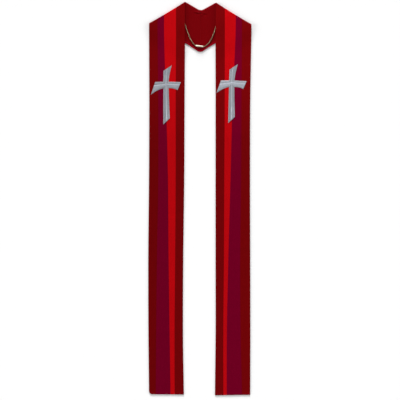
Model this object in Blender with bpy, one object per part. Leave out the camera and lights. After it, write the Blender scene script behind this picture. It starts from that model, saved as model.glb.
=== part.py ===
"""A clerical stole laid flat and folded over at both shoulders, at full size, in metres.

Two striped bands lie side by side. Each is four strips of cloth sewn edge to edge, turned in all round
and backed with a lining. A band runs up from its hem, folds back over the shoulder and goes on under
itself to the centre-back seam, where both bands meet in a V. A cross is sewn on each front, and a light
chain with a small sleeve on it lies across the neck, from a ring under one band to a ring under the other.

+X is to the right as the stole is looked at, +Y is towards the shoulders and +Z is up. The origin is
on the surface that the stole lies on, under the middle of its box.
"""

import math
from collections import namedtuple

import bpy
import numpy as np

MM = 0.001

# --- The bands: sections from the shoulder to the hem -------------------------------------------
# Each row is one level across a band. "down" is measured from the neck points at the top, the rest
# outwards from the centre-back seam: the band's inner edge, the three seams between its strips and
# its outer edge. Millimetres.
Section = namedtuple("Section", "down inner bright_in bright_out plum_out outer")
SECTIONS = {
    "left": [
        Section(80, 53.6, 85.0, 127.0, 149.5, 179.6),
        Section(340, 55.2, 86.0, 120.4, 147.3, 178.8),
        Section(620, 56.4, 86.2, 113.4, 147.3, 179.8),
        Section(900, 59.8, 88.0, 111.2, 151.8, 182.3),
        Section(1180, 60.6, 90.2, 107.4, 154.6, 181.6),
        Section(1374, 57.6, 89.8, 104.4, 155.8, 179.6),
    ],
    "right": [
        Section(0, 55.2, 85.6, 124.0, 145.3, 178.8),
        Section(80, 53.6, 85.6, 124.0, 145.3, 178.8),
        Section(340, 53.4, 85.2, 113.2, 143.7, 174.8),
        Section(620, 53.2, 83.8, 105.8, 142.6, 173.8),
        Section(900, 53.2, 82.5, 98.2, 139.4, 174.5),
        Section(1180, 53.2, 80.2, 92.8, 141.2, 175.0),
        Section(1374, 50.9, 80.6, 92.6, 145.6, 174.4),
    ],
}
# How far each neck point is below the top, where each hem ends at its two corners, and how far each
# hem corner is rounded. Millimetres.
End = namedtuple("End", "neck_down hem_inner hem_outer corner_inner corner_outer")
ENDS = {
    "left": End(0.0, 1374.5, 1373.5, 1.2, 12.0),
    "right": End(2.8, 1377.4, 1375.3, 3.0, 2.0),
}

# --- The cloth --------------------------------------------------------------------------------
WALL = 1.2 * MM  # the face cloth with its interlining, and the lining
GAP = 0.3 * MM  # between pieces that are sewn together
THICK = 2 * WALL + GAP  # a whole band: face over lining
TURN = 6.0 * MM  # how far the face cloth is turned in behind the edges
# The turned edge's rounding: how far in from the edge, and how much is off the cloth's two sides.
Edge = namedtuple("Edge", "inset drop lift")
EDGE = [
    Edge(0.0, 0.8 * MM, 0.8 * MM),
    Edge(0.5 * MM, 0.2 * MM, 0.2 * MM),
    Edge(1.3 * MM, 0.0, 0.0),
    Edge(TURN, 0.0, 0.0),
]
TURN_STEP = 0.3 * MM  # past the turn, where the face's underside steps up over the lining
INSIDE = 1.0  # an inset for points that are nowhere near an edge
PAST_HEM = 1.4  # a level below every hem, where a band's lines have their last values

# --- The shoulder fold ------------------------------------------------------------------------
FOLD_ANGLES = {"left": math.radians(30.8), "right": math.radians(31.5)}  # below the level
FOLD_SAG = 1.2 * MM  # how far the shoulder line sags between its two ends
FOLD_ROOM = 2.3 * MM  # left open inside the fold's roll
FOLD_EASE = 28 * MM  # over which that room closes, away from the fold
LAYER_ROOM = 0.5 * MM  # between the band and the back neck where one lies on the other
STEP_DOWN = 34 * MM  # over which the band comes down past the edge of the back neck
ROLL_STEPS = 8
BACK_STEPS = 5
# The centre-back seam: how far its two ends are below the neck points and to the right, how far out
# from it the V's edges start to turn in a short curve there, and where the rows across that curve are.
# The V's lower edges bow by this slope.
SEAM_TOP_DOWN, SEAM_POINT_DOWN = 32.1 * MM, 179.3 * MM
SEAM_TOP_ASIDE, SEAM_POINT_ASIDE = 1.5 * MM, -0.8 * MM
SEAM_TOP_CURVE, SEAM_POINT_CURVE = 11 * MM, 11 * MM
SEAM_ROWS = [11 * MM, 7.5 * MM, 4.5 * MM, 2 * MM, GAP / 2]
BACK_BOW = 0.12
SHOULDER_STEPS = 16
SHOULDER_STEP = 11.5 * MM
FRONT_STEPS = 17
HEM_MARGIN = 14 * MM  # the last of the front's even rows is this far from the hem

# --- The neck chain ---------------------------------------------------------------------------
CHAIN_D = 3.0 * MM
CHAIN_POINT_EVERY = 2.0 * CHAIN_D
RING_R = 3.2 * MM
RING_WIRE = 0.7 * MM
SLEEVE_LENGTH = 25.4 * MM
SLEEVE_R = 2.7 * MM
SLEEVE_BORE_R = 2.1 * MM
SLEEVE_RIM = 0.3 * MM
# The chain's centreline in millimetres: across from the centre-back seam, up from the neck points,
# and up from where it lies on the lining. It rises by "rise" to go through the sleeve.
RISE = (SLEEVE_R - SLEEVE_BORE_R + GAP) / MM
CHAIN_ROUTE = [
    (-61.5, -66.0, 0.0),
    (-57.6, -72.5, 0.0),
    (-53.9, -79.5, 0.0),
    (-51.1, -87.5, 0.0),
    (-47.7, -97.5, 0.0),
    (-43.0, -110.0, 0.0),
    (-37.6, -124.0, 0.0),
    (-31.0, -135.8, 0.0),
    (-25.0, -145.0, 0.3 * RISE),
    (-19.8, -151.2, 0.8 * RISE),
    (-15.4, -153.9, RISE),
    (-11.1, -154.5, RISE),
    (-2.8, -155.5, RISE),
    (5.5, -156.5, RISE),
    (9.8, -156.9, RISE),
    (15.6, -155.8, 0.8 * RISE),
    (22.2, -151.3, 0.3 * RISE),
    (28.6, -145.0, 0.0),
    (34.5, -137.0, 0.0),
    (39.8, -127.6, 0.0),
    (44.8, -115.6, 0.0),
    (49.0, -104.2, 0.0),
    (52.1, -93.4, 0.0),
    (54.9, -84.2, 0.0),
    (58.8, -76.0, 0.0),
    (63.4, -69.5, 0.0),
]
SLEEVE_ENDS = CHAIN_ROUTE[10], CHAIN_ROUTE[14]
# The band's inner edge lifts over the chain: how high, over what length, and how far in from the edge
# it stays up and is down again.
Lift = namedtuple("Lift", "rise down half_length flat_to gone_by")
CHAIN_LIFTS = {
    "left": Lift(3.4 * MM, 73 * MM, 46 * MM, 17 * MM, 60 * MM),
    "right": Lift(3.4 * MM, 77 * MM, 46 * MM, 17 * MM, 60 * MM),
}

# --- The crosses ------------------------------------------------------------------------------
# One Latin cross with flared ends cut on the slant. The stem and the bar cross in a rectangle, and an
# arm goes out from each of its sides. Its edges, a on the left of the way out and b on the right,
# reach this far from the middle, flare by this much and bow in by this much. Millimetres and degrees.
STEM_HALF, BAR_HALF = 9.3, 11.4
CROSS_EDGE = 0.8 * MM
CROSS_RIDGE = 1.4 * MM
CROSS_STEPS = 4  # along each arm
CrossArm = namedtuple("CrossArm", "turn root_half root_out reach_a reach_b flare_a flare_b bow_a bow_b")
CROSS_ARMS = [
    CrossArm(90, STEM_HALF, BAR_HALF, 49.2, 69, -0.7, 11.2, 0, 1.7),
    CrossArm(180, BAR_HALF, STEM_HALF, 53.1, 37.8, 22.5, -0.8, 3.0, 0),
    CrossArm(270, STEM_HALF, BAR_HALF, 116.3, 138, 3.3, 0.8, 0, 0),
    CrossArm(0, BAR_HALF, STEM_HALF, 51.9, 40.4, -1.7, 6.3, 0, 2),
]
Placing = namedtuple("Placing", "across down turn")
CROSS_PLACES = {
    "left": Placing(-120.2 * MM, 291.4 * MM, math.radians(0.2)),
    "right": Placing(109.8 * MM, 286.9 * MM, math.radians(-1.0)),
}

# --- Finishes: base colour, roughness, metallic -------------------------------------------------
SHARP_ANGLE = math.radians(35)  # an edge that bends more than this is shaded as an edge
Finish = namedtuple("Finish", "colour roughness metallic")
FINISHES = {
    "dark_red_cloth": Finish((0.170, 0.003, 0.005, 1.0), 0.85, 0.0),
    "plum_cloth": Finish((0.150, 0.002, 0.013, 1.0), 0.85, 0.0),
    "bright_red_cloth": Finish((0.480, 0.004, 0.007, 1.0), 0.80, 0.0),
    "lining_cloth": Finish((0.165, 0.003, 0.005, 1.0), 0.60, 0.0),
    "silver_thread": Finish((0.330, 0.340, 0.370, 1.0), 0.45, 0.3),
    "chain_metal": Finish((0.280, 0.190, 0.110, 1.0), 0.35, 1.0),
    "sleeve_white": Finish((0.850, 0.800, 0.720, 1.0), 0.30, 0.0),
}

# --- The frame of one side --------------------------------------------------------------------
# Everything on a band is worked out on the right-hand side, outwards from the centre-back seam, and
# turned over to the left by its sign.
SIGN = {"left": -1.0, "right": 1.0}
ROLL_IN = FOLD_ROOM / 2  # the roll's radius at the lining
ROLL_MID = ROLL_IN + THICK / 2
ROLL_OUT = ROLL_IN + THICK
ROLL_CENTRE_Z = THICK + ROLL_IN


def eased(t):
    """0 to 1 with level ends, as t goes from 0 to 1."""
    t = min(max(t, 0.0), 1.0)
    return t * t * (3 - 2 * t)


def between(t, width, start, end, start_slope, end_slope):
    """A smooth step from start to end over this width, with these slopes, at t from 0 to 1."""
    return (
        (1 + 2 * t) * (1 - t) ** 2 * start
        + t * (1 - t) ** 2 * width * start_slope
        + t * t * (3 - 2 * t) * end
        + t * t * (t - 1) * width * end_slope
    )


def smooth_value(xs, ys, x):
    """The value at x of a smooth curve through the points (xs, ys), level past both ends."""
    if x <= xs[0]:
        return ys[0]
    if x >= xs[-1]:
        return ys[-1]
    slopes = np.gradient(ys, xs)
    slopes[0] = 0.0
    i = int(np.searchsorted(xs, x)) - 1
    width = xs[i + 1] - xs[i]
    return between((x - xs[i]) / width, width, ys[i], ys[i + 1], slopes[i], slopes[i + 1])


# --- A band's surface -------------------------------------------------------------------------
# A column is a line that runs the length of a band: a mix of two lines of the table, moved over.
Column = namedtuple("Column", "line other mix shift inset")
# A row crosses the band: zone is seam, back, roll, front or hem, and at says where in it.
Row = namedtuple("Row", "zone at")


class Band:
    """One side of the stole, as a way from (column, row, height in the cloth) to a point in space."""

    def __init__(self, side):
        self.sign = SIGN[side]
        self.end = ENDS[side]
        self.lift = CHAIN_LIFTS[side]
        self.table = np.array(SECTIONS[side]) * MM
        self.inner, self.outer = self.table[0][1], self.table[0][5]
        # The ways along the fold, past it and out of the back neck's side, in plan.
        angle = FOLD_ANGLES[side]
        self.slope = math.tan(angle)
        self.along = np.array([math.cos(angle), -math.sin(angle)])
        self.past = np.array([math.sin(angle), math.cos(angle)])
        self.out_of_back = np.array([math.cos(2 * angle), -math.sin(2 * angle)])
        # Where the roll's axis passes under the neck point and under the shoulder's corner, in plan.
        self.axis = np.array([self.inner, -self.end.neck_down * MM]) - ROLL_OUT * self.past
        self.shoulder = self.on_axis(self.outer)

    def line(self, name, down):
        """How far out one of the table's lines is at this level."""
        which = Section._fields.index(name)
        return smooth_value(self.table[:, 0], self.table[:, which], down)

    def across(self, column, down):
        """How far out a column is at this level."""
        first = self.line(column.line, down)
        return first + column.mix * (self.line(column.other, down) - first) + column.shift

    def share_across(self, x):
        """How far across the band's top this is, from 0 at its inner edge to 1 at its outer one."""
        return min(max((x - self.inner) / (self.outer - self.inner), 0.0), 1.0)

    def sag(self, x):
        """How far the shoulder line hangs below straight at x."""
        share = self.share_across(x)
        return FOLD_SAG * 4 * share * (1 - share)

    def on_axis(self, x, shift=0.0):
        """The place on the roll's axis where a line of the band at x meets it, moved along it."""
        along = (x - self.axis[0]) / self.along[0] + shift
        return self.axis + along * self.along - [0.0, self.sag(x)]

    def height(self, x, y):
        """How far the front is held up off the surface by what lies under it."""
        at = np.array([x, y])
        past_back = (at - self.shoulder) @ self.out_of_back
        covered = 1 - eased(past_back / STEP_DOWN)
        from_fold = -(at + [0.0, self.sag(x)] - self.axis) @ self.past
        opened = 1 - eased(from_fold / FOLD_EASE)
        along = 1 - eased(abs(-y - self.lift.down) / self.lift.half_length)
        inward = x - self.inner - self.lift.flat_to
        aside = 1 - eased(inward / (self.lift.gone_by - self.lift.flat_to))
        return (
            (THICK + LAYER_ROOM) * covered
            + (FOLD_ROOM - LAYER_ROOM) * opened
            + self.lift.rise * along * aside
        )

    def hem(self, x):
        """The hem's y at x, with its corners rounded."""
        from_inner = max(x - self.line("inner", PAST_HEM), 0.0)
        from_outer = max(self.line("outer", PAST_HEM) - x, 0.0)
        share = from_inner / (from_inner + from_outer)
        y = -(self.end.hem_inner * (1 - share) + self.end.hem_outer * share) * MM
        for inset, radius in (
            (from_inner, self.end.corner_inner * MM),
            (from_outer, self.end.corner_outer * MM),
        ):
            if inset < radius:
                y += radius - math.sqrt(radius**2 - (radius - inset) ** 2)
        return y

    def front_plan(self, column, row):
        """Where a point of the front is in plan."""
        top_y = self.on_axis(self.across(column, 0.0))[1]
        hem_y = self.hem(self.across(column, PAST_HEM))
        if row.zone == "hem":
            y = hem_y + row.at
        else:
            y = top_y + row.at * (hem_y + HEM_MARGIN - top_y)
        return self.across(column, -y), y

    def point(self, column, row, h):
        """The point at height h in the cloth, where 0 is the lining's outside."""
        if row.zone in ("front", "hem"):
            x, y = self.front_plan(column, row)
            return (self.sign * x, y, self.height(x, y) + h)
        turn = row.at * math.pi if row.zone == "roll" else math.pi
        out = self.across(column, 0.0)
        radius = ROLL_IN + h
        plan = self.on_axis(out, -turn * ROLL_MID * self.slope) + radius * math.sin(turn) * self.past
        if row.zone in ("back", "seam"):
            plan = self.back_plan(plan, self.share_across(out), row)
        return (self.sign * plan[0], plan[1], ROLL_CENTRE_Z + radius * math.cos(turn))

    def back_plan(self, start, share, row):
        """Where a point of the back neck is in plan.

        It is on the line that leaves the roll at start, this share of the way across the band.
        """
        x = row.at if row.zone == "seam" else start[0] + row.at * (SEAM_ROWS[0] - start[0])
        seam_y = -(SEAM_TOP_DOWN + share * (SEAM_POINT_DOWN - SEAM_TOP_DOWN))
        slope = (start[1] - seam_y) / start[0]
        bow = BACK_BOW * share * (1 - x / start[0])
        reach = SEAM_TOP_CURVE + share * (SEAM_POINT_CURVE - SEAM_TOP_CURVE)
        turned_in = (slope + BACK_BOW * share) * max(reach - x, 0.0) ** 2 / (2 * reach)
        seam_x = self.sign * (SEAM_TOP_ASIDE + share * (SEAM_POINT_ASIDE - SEAM_TOP_ASIDE))
        return np.array([x + seam_x * (1 - x / start[0]), seam_y + x * (slope + bow) + turned_in])


def band_rows(hem_insets):
    """The rows of a band's pieces, from the centre-back seam to the hem."""
    rows = [Row("seam", x) for x in reversed(SEAM_ROWS)]
    rows += [Row("back", k / BACK_STEPS) for k in range(BACK_STEPS - 1, 0, -1)]
    rows += [Row("roll", k / ROLL_STEPS) for k in range(ROLL_STEPS, 0, -1)]
    length = ENDS["left"].hem_inner * MM - HEM_MARGIN
    shoulder = [k * SHOULDER_STEP / length for k in range(SHOULDER_STEPS)]
    rest = np.linspace(SHOULDER_STEPS * SHOULDER_STEP / length, 1.0, FRONT_STEPS)
    rows += [Row("front", float(at)) for at in [*shoulder, *rest]]
    return rows + [Row("hem", inset) for inset in sorted(hem_insets, reverse=True)]


def rounding(inset):
    """How much the turned edge's rounding takes off the cloth's two sides, this far in."""
    insets = [edge.inset for edge in EDGE]
    drop = float(np.interp(inset, insets, [edge.drop for edge in EDGE]))
    lift = float(np.interp(inset, insets, [edge.lift for edge in EDGE]))
    return drop, lift


def face_heights(column, row):
    """The face cloth's underside and top at a point: double where it is turned in at an edge."""
    hem_inset = row.at if row.zone == "hem" else INSIDE
    inset = min(column.inset, hem_inset)
    drop, lift = rounding(inset)
    bottom = lift if inset <= TURN else WALL + GAP
    return bottom, THICK - drop


def lining_heights(_column, _row):
    return 0.0, WALL


def edge_columns(line, inwards):
    """The columns of a turned edge, from the edge inwards."""
    insets = [edge.inset for edge in EDGE] + [TURN + TURN_STEP]
    return [Column(line, line, 0.0, inwards * inset, inset) for inset in insets]


def seam_column(line, side_of_seam):
    return Column(line, line, 0.0, side_of_seam * GAP / 2, INSIDE)


def middle_column(line, other):
    return Column(line, other, 0.5, 0.0, INSIDE)


STRIP_COLUMNS = {
    "inner_strip": [
        *edge_columns("inner", 1),
        middle_column("inner", "bright_in"),
        seam_column("bright_in", -1),
    ],
    "bright_strip": [
        seam_column("bright_in", 1),
        middle_column("bright_in", "bright_out"),
        seam_column("bright_out", -1),
    ],
    "plum_strip": [
        seam_column("bright_out", 1),
        middle_column("bright_out", "plum_out"),
        seam_column("plum_out", -1),
    ],
    "outer_strip": [
        seam_column("plum_out", 1),
        middle_column("plum_out", "outer"),
        *reversed(edge_columns("outer", -1)),
    ],
}
LINING_INSET = TURN + TURN_STEP + GAP
LINING_COLUMNS = [
    Column("inner", "inner", 0.0, LINING_INSET, INSIDE),
    middle_column("inner", "bright_in"),
    seam_column("bright_in", 0),
    middle_column("bright_in", "bright_out"),
    seam_column("bright_out", 0),
    middle_column("bright_out", "plum_out"),
    seam_column("plum_out", 0),
    middle_column("plum_out", "outer"),
    Column("outer", "outer", 0.0, -LINING_INSET, INSIDE),
]


# --- Making objects ---------------------------------------------------------------------------
def clear_scene():
    for obj in list(bpy.data.objects):
        bpy.data.objects.remove(obj)


def material(name):
    found = bpy.data.materials.get(name)
    if found:
        return found
    finish = FINISHES[name]
    made = bpy.data.materials.new(name)
    made.use_nodes = True
    shader = made.node_tree.nodes["Principled BSDF"]
    shader.inputs["Base Color"].default_value = finish.colour
    shader.inputs["Roughness"].default_value = finish.roughness
    shader.inputs["Metallic"].default_value = finish.metallic
    made.diffuse_color = finish.colour
    return made


def place(name, data, finish):
    """Adds an object made of this mesh or curve, centred on the stole's own origin."""
    obj = bpy.data.objects.new(name, data)
    data.materials.append(material(finish))
    obj.location = (STOLE_CENTRE[0], STOLE_CENTRE[1], 0.0)
    bpy.context.scene.collection.objects.link(obj)
    return obj


def mesh_of(name, points, faces, flipped=False):
    made = bpy.data.meshes.new(name)
    if flipped:
        faces = [tuple(reversed(face)) for face in faces]
    made.from_pydata(points, [], faces)
    made.shade_smooth()
    made.set_sharp_from_angle(angle=SHARP_ANGLE)
    return made


def wall_between(rows, columns, point_at, heights):
    """A closed wall over a grid: points on top, points underneath and a rim all round."""
    points = []
    for layer in (1, 0):
        for row in rows:
            for column in columns:
                points.append(point_at(column, row, heights(column, row)[layer]))
    wide, deep = len(columns), len(rows)
    under = wide * deep

    def top(i, j):
        return i * wide + j

    faces = []
    for i in range(deep - 1):
        for j in range(wide - 1):
            ring = [top(i, j), top(i + 1, j), top(i + 1, j + 1), top(i, j + 1)]
            faces += two_triangles(ring)
            faces += [face[::-1] for face in two_triangles([k + under for k in ring])]
    rim = [top(i, 0) for i in range(deep)]
    rim += [top(deep - 1, j) for j in range(1, wide)]
    rim += [top(i, wide - 1) for i in range(deep - 2, -1, -1)]
    rim += [top(0, j) for j in range(wide - 2, 0, -1)]
    for a, b in zip(rim, rim[1:] + rim[:1], strict=True):
        faces.append((a, a + under, b + under, b))
    return points, faces


def two_triangles(ring):
    """A four-sided face split the same way wherever it is, so that layers stay apart."""
    a, b, c, d = ring
    return [(a, b, c), (a, c, d)]


def build_band(side):
    band = Band(side)
    strip_rows = band_rows([edge.inset for edge in EDGE] + [TURN + TURN_STEP])
    lining_rows = band_rows([LINING_INSET])
    finishes = {
        "inner_strip": "dark_red_cloth",
        "bright_strip": "bright_red_cloth",
        "plum_strip": "plum_cloth",
        "outer_strip": "dark_red_cloth",
    }
    flipped = band.sign < 0
    for strip, columns in STRIP_COLUMNS.items():
        name = f"{side}_{strip}"
        shape = wall_between(strip_rows, columns, band.point, face_heights)
        place(name, mesh_of(name, *shape, flipped), finishes[strip])
    name = f"{side}_lining"
    shape = wall_between(lining_rows, LINING_COLUMNS, band.point, lining_heights)
    place(name, mesh_of(name, *shape, flipped), "lining_cloth")


# --- The crosses ------------------------------------------------------------------------------
def arm_lines(arm, steps):
    """An arm's edge b, its ridge and its edge a, each from root to tip, from the middle of the cross."""
    cos, sin = round(math.cos(math.radians(arm.turn))), round(math.sin(math.radians(arm.turn)))
    tip_a = (arm.reach_a, arm.root_half + arm.flare_a)
    tip_b = (arm.reach_b, -arm.root_half - arm.flare_b)
    ridge_end = ((tip_a[0] + tip_b[0]) / 2, (tip_a[1] + tip_b[1]) / 2)
    lines = []
    for root, tip, bow in (
        ((arm.root_out, -arm.root_half), tip_b, arm.bow_b),
        ((0.0, 0.0), ridge_end, 0.0),
        ((arm.root_out, arm.root_half), tip_a, -arm.bow_a),
    ):
        line = []
        for k in range(steps + 1):
            t = k / steps
            out = root[0] + t * (tip[0] - root[0])
            aside = root[1] + t * (tip[1] - root[1]) + bow * 4 * t * (1 - t)
            line.append((out * cos - aside * sin, out * sin + aside * cos))
        lines.append(line)
    return lines


def build_cross(side):
    """The cross as a low roof that follows the band under it: its ridges run out from the middle."""
    placing, band = CROSS_PLACES[side], Band(side)
    cos, sin = math.cos(placing.turn), math.sin(placing.turn)
    spots, ridges, faces, outline = [], [], [], []

    def numbered(spot, on_ridge):
        spot = (round(spot[0], 4), round(spot[1], 4))
        if spot not in spots:
            spots.append(spot)
            ridges.append(on_ridge)
        return spots.index(spot)

    for arm in CROSS_ARMS:
        lines = zip(arm_lines(arm, CROSS_STEPS), (False, True, False), strict=True)
        edge_b, ridge, edge_a = ([numbered(spot, on_ridge) for spot in line] for line, on_ridge in lines)
        for k in range(CROSS_STEPS):
            faces.append((edge_b[k], edge_b[k + 1], ridge[k + 1], ridge[k]))
            faces.append((ridge[k], ridge[k + 1], edge_a[k + 1], edge_a[k]))
        outline += [*edge_b, ridge[-1], *reversed(edge_a[1:])]
    points = []
    for layer in (1, 0):
        for (x, y), on_ridge in zip(spots, ridges, strict=True):
            across = placing.across + (x * cos - y * sin) * MM
            up = -placing.down + (x * sin + y * cos) * MM
            under = band.height(abs(across), up) + THICK + GAP
            points.append((across, up, under + (CROSS_RIDGE if on_ridge else CROSS_EDGE) * layer))
    count = len(spots)
    faces += [tuple(k + count for k in reversed(face)) for face in faces]
    for k, after in zip(outline, outline[1:] + outline[:1], strict=True):
        faces.append((k + count, after + count, after, k))
    name = f"{side}_cross"
    place(name, mesh_of(name, points, faces), "silver_thread")


# --- The chain --------------------------------------------------------------------------------
# The back neck lies face down, so its lining is on top and the chain lies on that.
LINING_TOP_Z = THICK
CHAIN_Z = LINING_TOP_Z + GAP + CHAIN_D / 2


def smooth_route(points):
    """Even points along a smooth curve through a route."""
    route = np.array(points) * MM + [0.0, 0.0, CHAIN_Z]
    steps = np.linalg.norm(np.diff(route, axis=0), axis=1)
    along = np.concatenate([[0.0], np.cumsum(steps)])
    slopes = np.gradient(route, along, axis=0)
    count = round(along[-1] / CHAIN_POINT_EVERY) + 1
    even = []
    for s in np.linspace(0.0, along[-1], count):
        i = min(int(np.searchsorted(along, s, side="right")) - 1, len(steps) - 1)
        t = (s - along[i]) / steps[i]
        even.append(between(t, steps[i], route[i], route[i + 1], slopes[i], slopes[i + 1]))
    return even


def build_chain():
    """The chain, as a round cord, and the rings that its two ends are fixed to."""
    line = smooth_route(CHAIN_ROUTE)
    curve = bpy.data.curves.new("chain", "CURVE")
    curve.dimensions = "3D"
    curve.bevel_depth = CHAIN_D / 2
    curve.bevel_resolution = 2
    curve.use_fill_caps = True
    spline = curve.splines.new("POLY")
    spline.points.add(len(line) - 1)
    for spot, at in zip(spline.points, line, strict=True):
        spot.co = (*at, 1.0)
    place("chain", curve, "chain_metal")
    for side, outer, before in (("left", line[0], line[1]), ("right", line[-1], line[-2])):
        away = (outer - before)[:2] / np.linalg.norm((outer - before)[:2])
        build_ring(f"chain_ring_{side}", outer[:2] + away * (GAP + RING_WIRE + RING_R))


def turned(profile, around, at):
    """A closed profile of (along, out) turned about an axis: its points and its faces."""
    points, faces = [], []
    for i in range(around):
        turn = 2 * math.pi * i / around
        points += [at(along, out, turn) for along, out in profile]
    count = len(profile)
    for i in range(around):
        here, there = i * count, (i + 1) % around * count
        for j in range(count):
            k = (j + 1) % count
            faces.append((here + j, here + k, there + k, there + j))
    return points, faces


def build_ring(name, centre):
    """A closed ring of round wire that lies flat on the lining."""
    wire = [
        (RING_WIRE * math.sin(math.tau * (k + 0.5) / 8), RING_WIRE * math.cos(math.tau * (k + 0.5) / 8))
        for k in range(8)
    ]

    def at(along, out, turn):
        reach = RING_R + out
        height = LINING_TOP_Z + GAP + RING_WIRE + along
        return (centre[0] + reach * math.cos(turn), centre[1] + reach * math.sin(turn), height)

    place(name, mesh_of(name, *turned(wire, 20, at), flipped=True), "chain_metal")


def build_sleeve():
    """The small tube that the chain is threaded through, lying on the lining."""
    half, shoulder = SLEEVE_LENGTH / 2, SLEEVE_R - SLEEVE_RIM
    profile = [
        (-half, SLEEVE_BORE_R),
        (-half, shoulder),
        (SLEEVE_RIM - half, SLEEVE_R),
        (half - SLEEVE_RIM, SLEEVE_R),
        (half, shoulder),
        (half, SLEEVE_BORE_R),
    ]

    def at(along, out, turn):
        return (along, out * math.cos(turn), out * math.sin(turn))

    tube = mesh_of("chain_sleeve", *turned(profile, 20, at), flipped=True)
    sleeve = place("chain_sleeve", tube, "sleeve_white")
    left, right = (np.array(end) * MM for end in SLEEVE_ENDS)
    sleeve.location.x += (left[0] + right[0]) / 2
    sleeve.location.y += (left[1] + right[1]) / 2
    sleeve.location.z = LINING_TOP_Z + GAP + SLEEVE_R
    sleeve.rotation_euler.z = math.atan2(right[1] - left[1], right[0] - left[0])


# --- The stole --------------------------------------------------------------------------------
def stole_centre():
    """How far everything is moved, to put the middle of the stole's box over the origin."""
    widest, highest, rows = {}, [], band_rows([0.0])
    for side in SIGN:
        band = Band(side)
        outer_edge = edge_columns("outer", -1)[0]
        widest[side] = max(abs(band.point(outer_edge, row, THICK / 2)[0]) for row in rows)
        highest += [
            band.point(column, row, face_heights(column, row)[1])[1]
            for column in edge_columns("inner", 1)
            for row in rows
        ]
    lowest = -max(end.hem_inner for end in ENDS.values()) * MM
    return ((widest["left"] - widest["right"]) / 2, -(max(highest) + lowest) / 2)


STOLE_CENTRE = stole_centre()


def main():
    clear_scene()
    for side in SIGN:
        build_band(side)
        build_cross(side)
    build_chain()
    build_sleeve()


main()
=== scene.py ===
"""The clerical stole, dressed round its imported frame: two lined, striped bands laid flat and folded
over at the shoulders, a stitched cross on each front and a light chain across the neck."""

import math
from collections import namedtuple

import bpy
import numpy as np
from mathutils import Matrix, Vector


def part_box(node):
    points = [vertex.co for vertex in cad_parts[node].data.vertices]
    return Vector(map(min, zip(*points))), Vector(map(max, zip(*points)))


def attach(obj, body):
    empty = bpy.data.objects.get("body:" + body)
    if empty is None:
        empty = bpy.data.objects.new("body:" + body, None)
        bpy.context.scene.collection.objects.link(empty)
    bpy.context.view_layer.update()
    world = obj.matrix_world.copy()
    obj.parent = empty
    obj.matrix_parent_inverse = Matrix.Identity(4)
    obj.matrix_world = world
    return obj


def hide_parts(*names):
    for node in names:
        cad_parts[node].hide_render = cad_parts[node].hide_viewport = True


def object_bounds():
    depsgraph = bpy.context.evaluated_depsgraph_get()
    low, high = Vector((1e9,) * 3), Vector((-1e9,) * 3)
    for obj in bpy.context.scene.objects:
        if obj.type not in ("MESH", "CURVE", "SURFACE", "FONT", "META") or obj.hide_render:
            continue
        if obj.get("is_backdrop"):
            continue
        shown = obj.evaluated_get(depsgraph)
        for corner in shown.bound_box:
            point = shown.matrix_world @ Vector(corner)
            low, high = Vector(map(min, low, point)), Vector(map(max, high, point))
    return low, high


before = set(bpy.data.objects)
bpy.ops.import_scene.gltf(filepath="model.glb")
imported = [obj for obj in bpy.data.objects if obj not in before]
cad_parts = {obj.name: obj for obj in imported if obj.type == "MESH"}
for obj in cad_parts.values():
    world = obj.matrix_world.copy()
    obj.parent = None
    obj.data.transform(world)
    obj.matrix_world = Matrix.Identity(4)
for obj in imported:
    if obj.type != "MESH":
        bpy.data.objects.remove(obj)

cad_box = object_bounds()

# --- The table, the light and the camera --------------------------------------------------------
# The stole lies on a plain white table in a soft light. Most of it comes low from beyond the
# shoulders and from both sides, so soft shadows fall below the hems and shorter ones beside the
# bands.
MM = 0.001
VIEW_WIDTH = 1.4
VIEW_CENTRE = (0.6 * MM, -4.7 * MM)
SENSOR = 36
LENS_TO_SENSOR = 200 / SENSOR
TABLE_HALF = 30.0
TABLE_TOP = -0.05 * MM
TABLE_WHITE = (0.77, 0.77, 0.77, 1.0)
ROOM_LIGHT = 0.411


def plain_material(name, colour, roughness, metallic=0.0):
    """A material with one shader, and the shader."""
    made = bpy.data.materials.new(name)
    made.use_nodes = True
    shader = made.node_tree.nodes["Principled BSDF"]
    shader.inputs["Base Color"].default_value = colour
    shader.inputs["Roughness"].default_value = roughness
    shader.inputs["Metallic"].default_value = metallic
    return made, shader


def mesh_piece(name, points, faces, finish):
    """A new piece, shaded smooth, made of these points and faces."""
    mesh = bpy.data.meshes.new(name)
    mesh.from_pydata(np.asarray(points, float).tolist(), [], np.asarray(faces, int).tolist())
    mesh.materials.append(finish)
    mesh.shade_smooth()
    made = bpy.data.objects.new(name, mesh)
    bpy.context.scene.collection.objects.link(made)
    return made


corners = [
    (x * TABLE_HALF, y * TABLE_HALF, TABLE_TOP) for x, y in ((-1, -1), (1, -1), (1, 1), (-1, 1))
]
table_white, shader = plain_material("table_white", TABLE_WHITE, roughness=0.9)
shader.inputs["Specular IOR Level"].default_value = 0.0
table = mesh_piece("table", corners, [(0, 1, 2, 3)], table_white)
table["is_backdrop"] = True

world = bpy.data.worlds.new("studio")
world.use_nodes = True
from_all_round = world.node_tree.nodes["Background"].inputs
from_all_round["Color"].default_value = (1.0, 1.0, 1.0, 1.0)
from_all_round["Strength"].default_value = ROOM_LIGHT
bpy.context.scene.world = world

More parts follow.
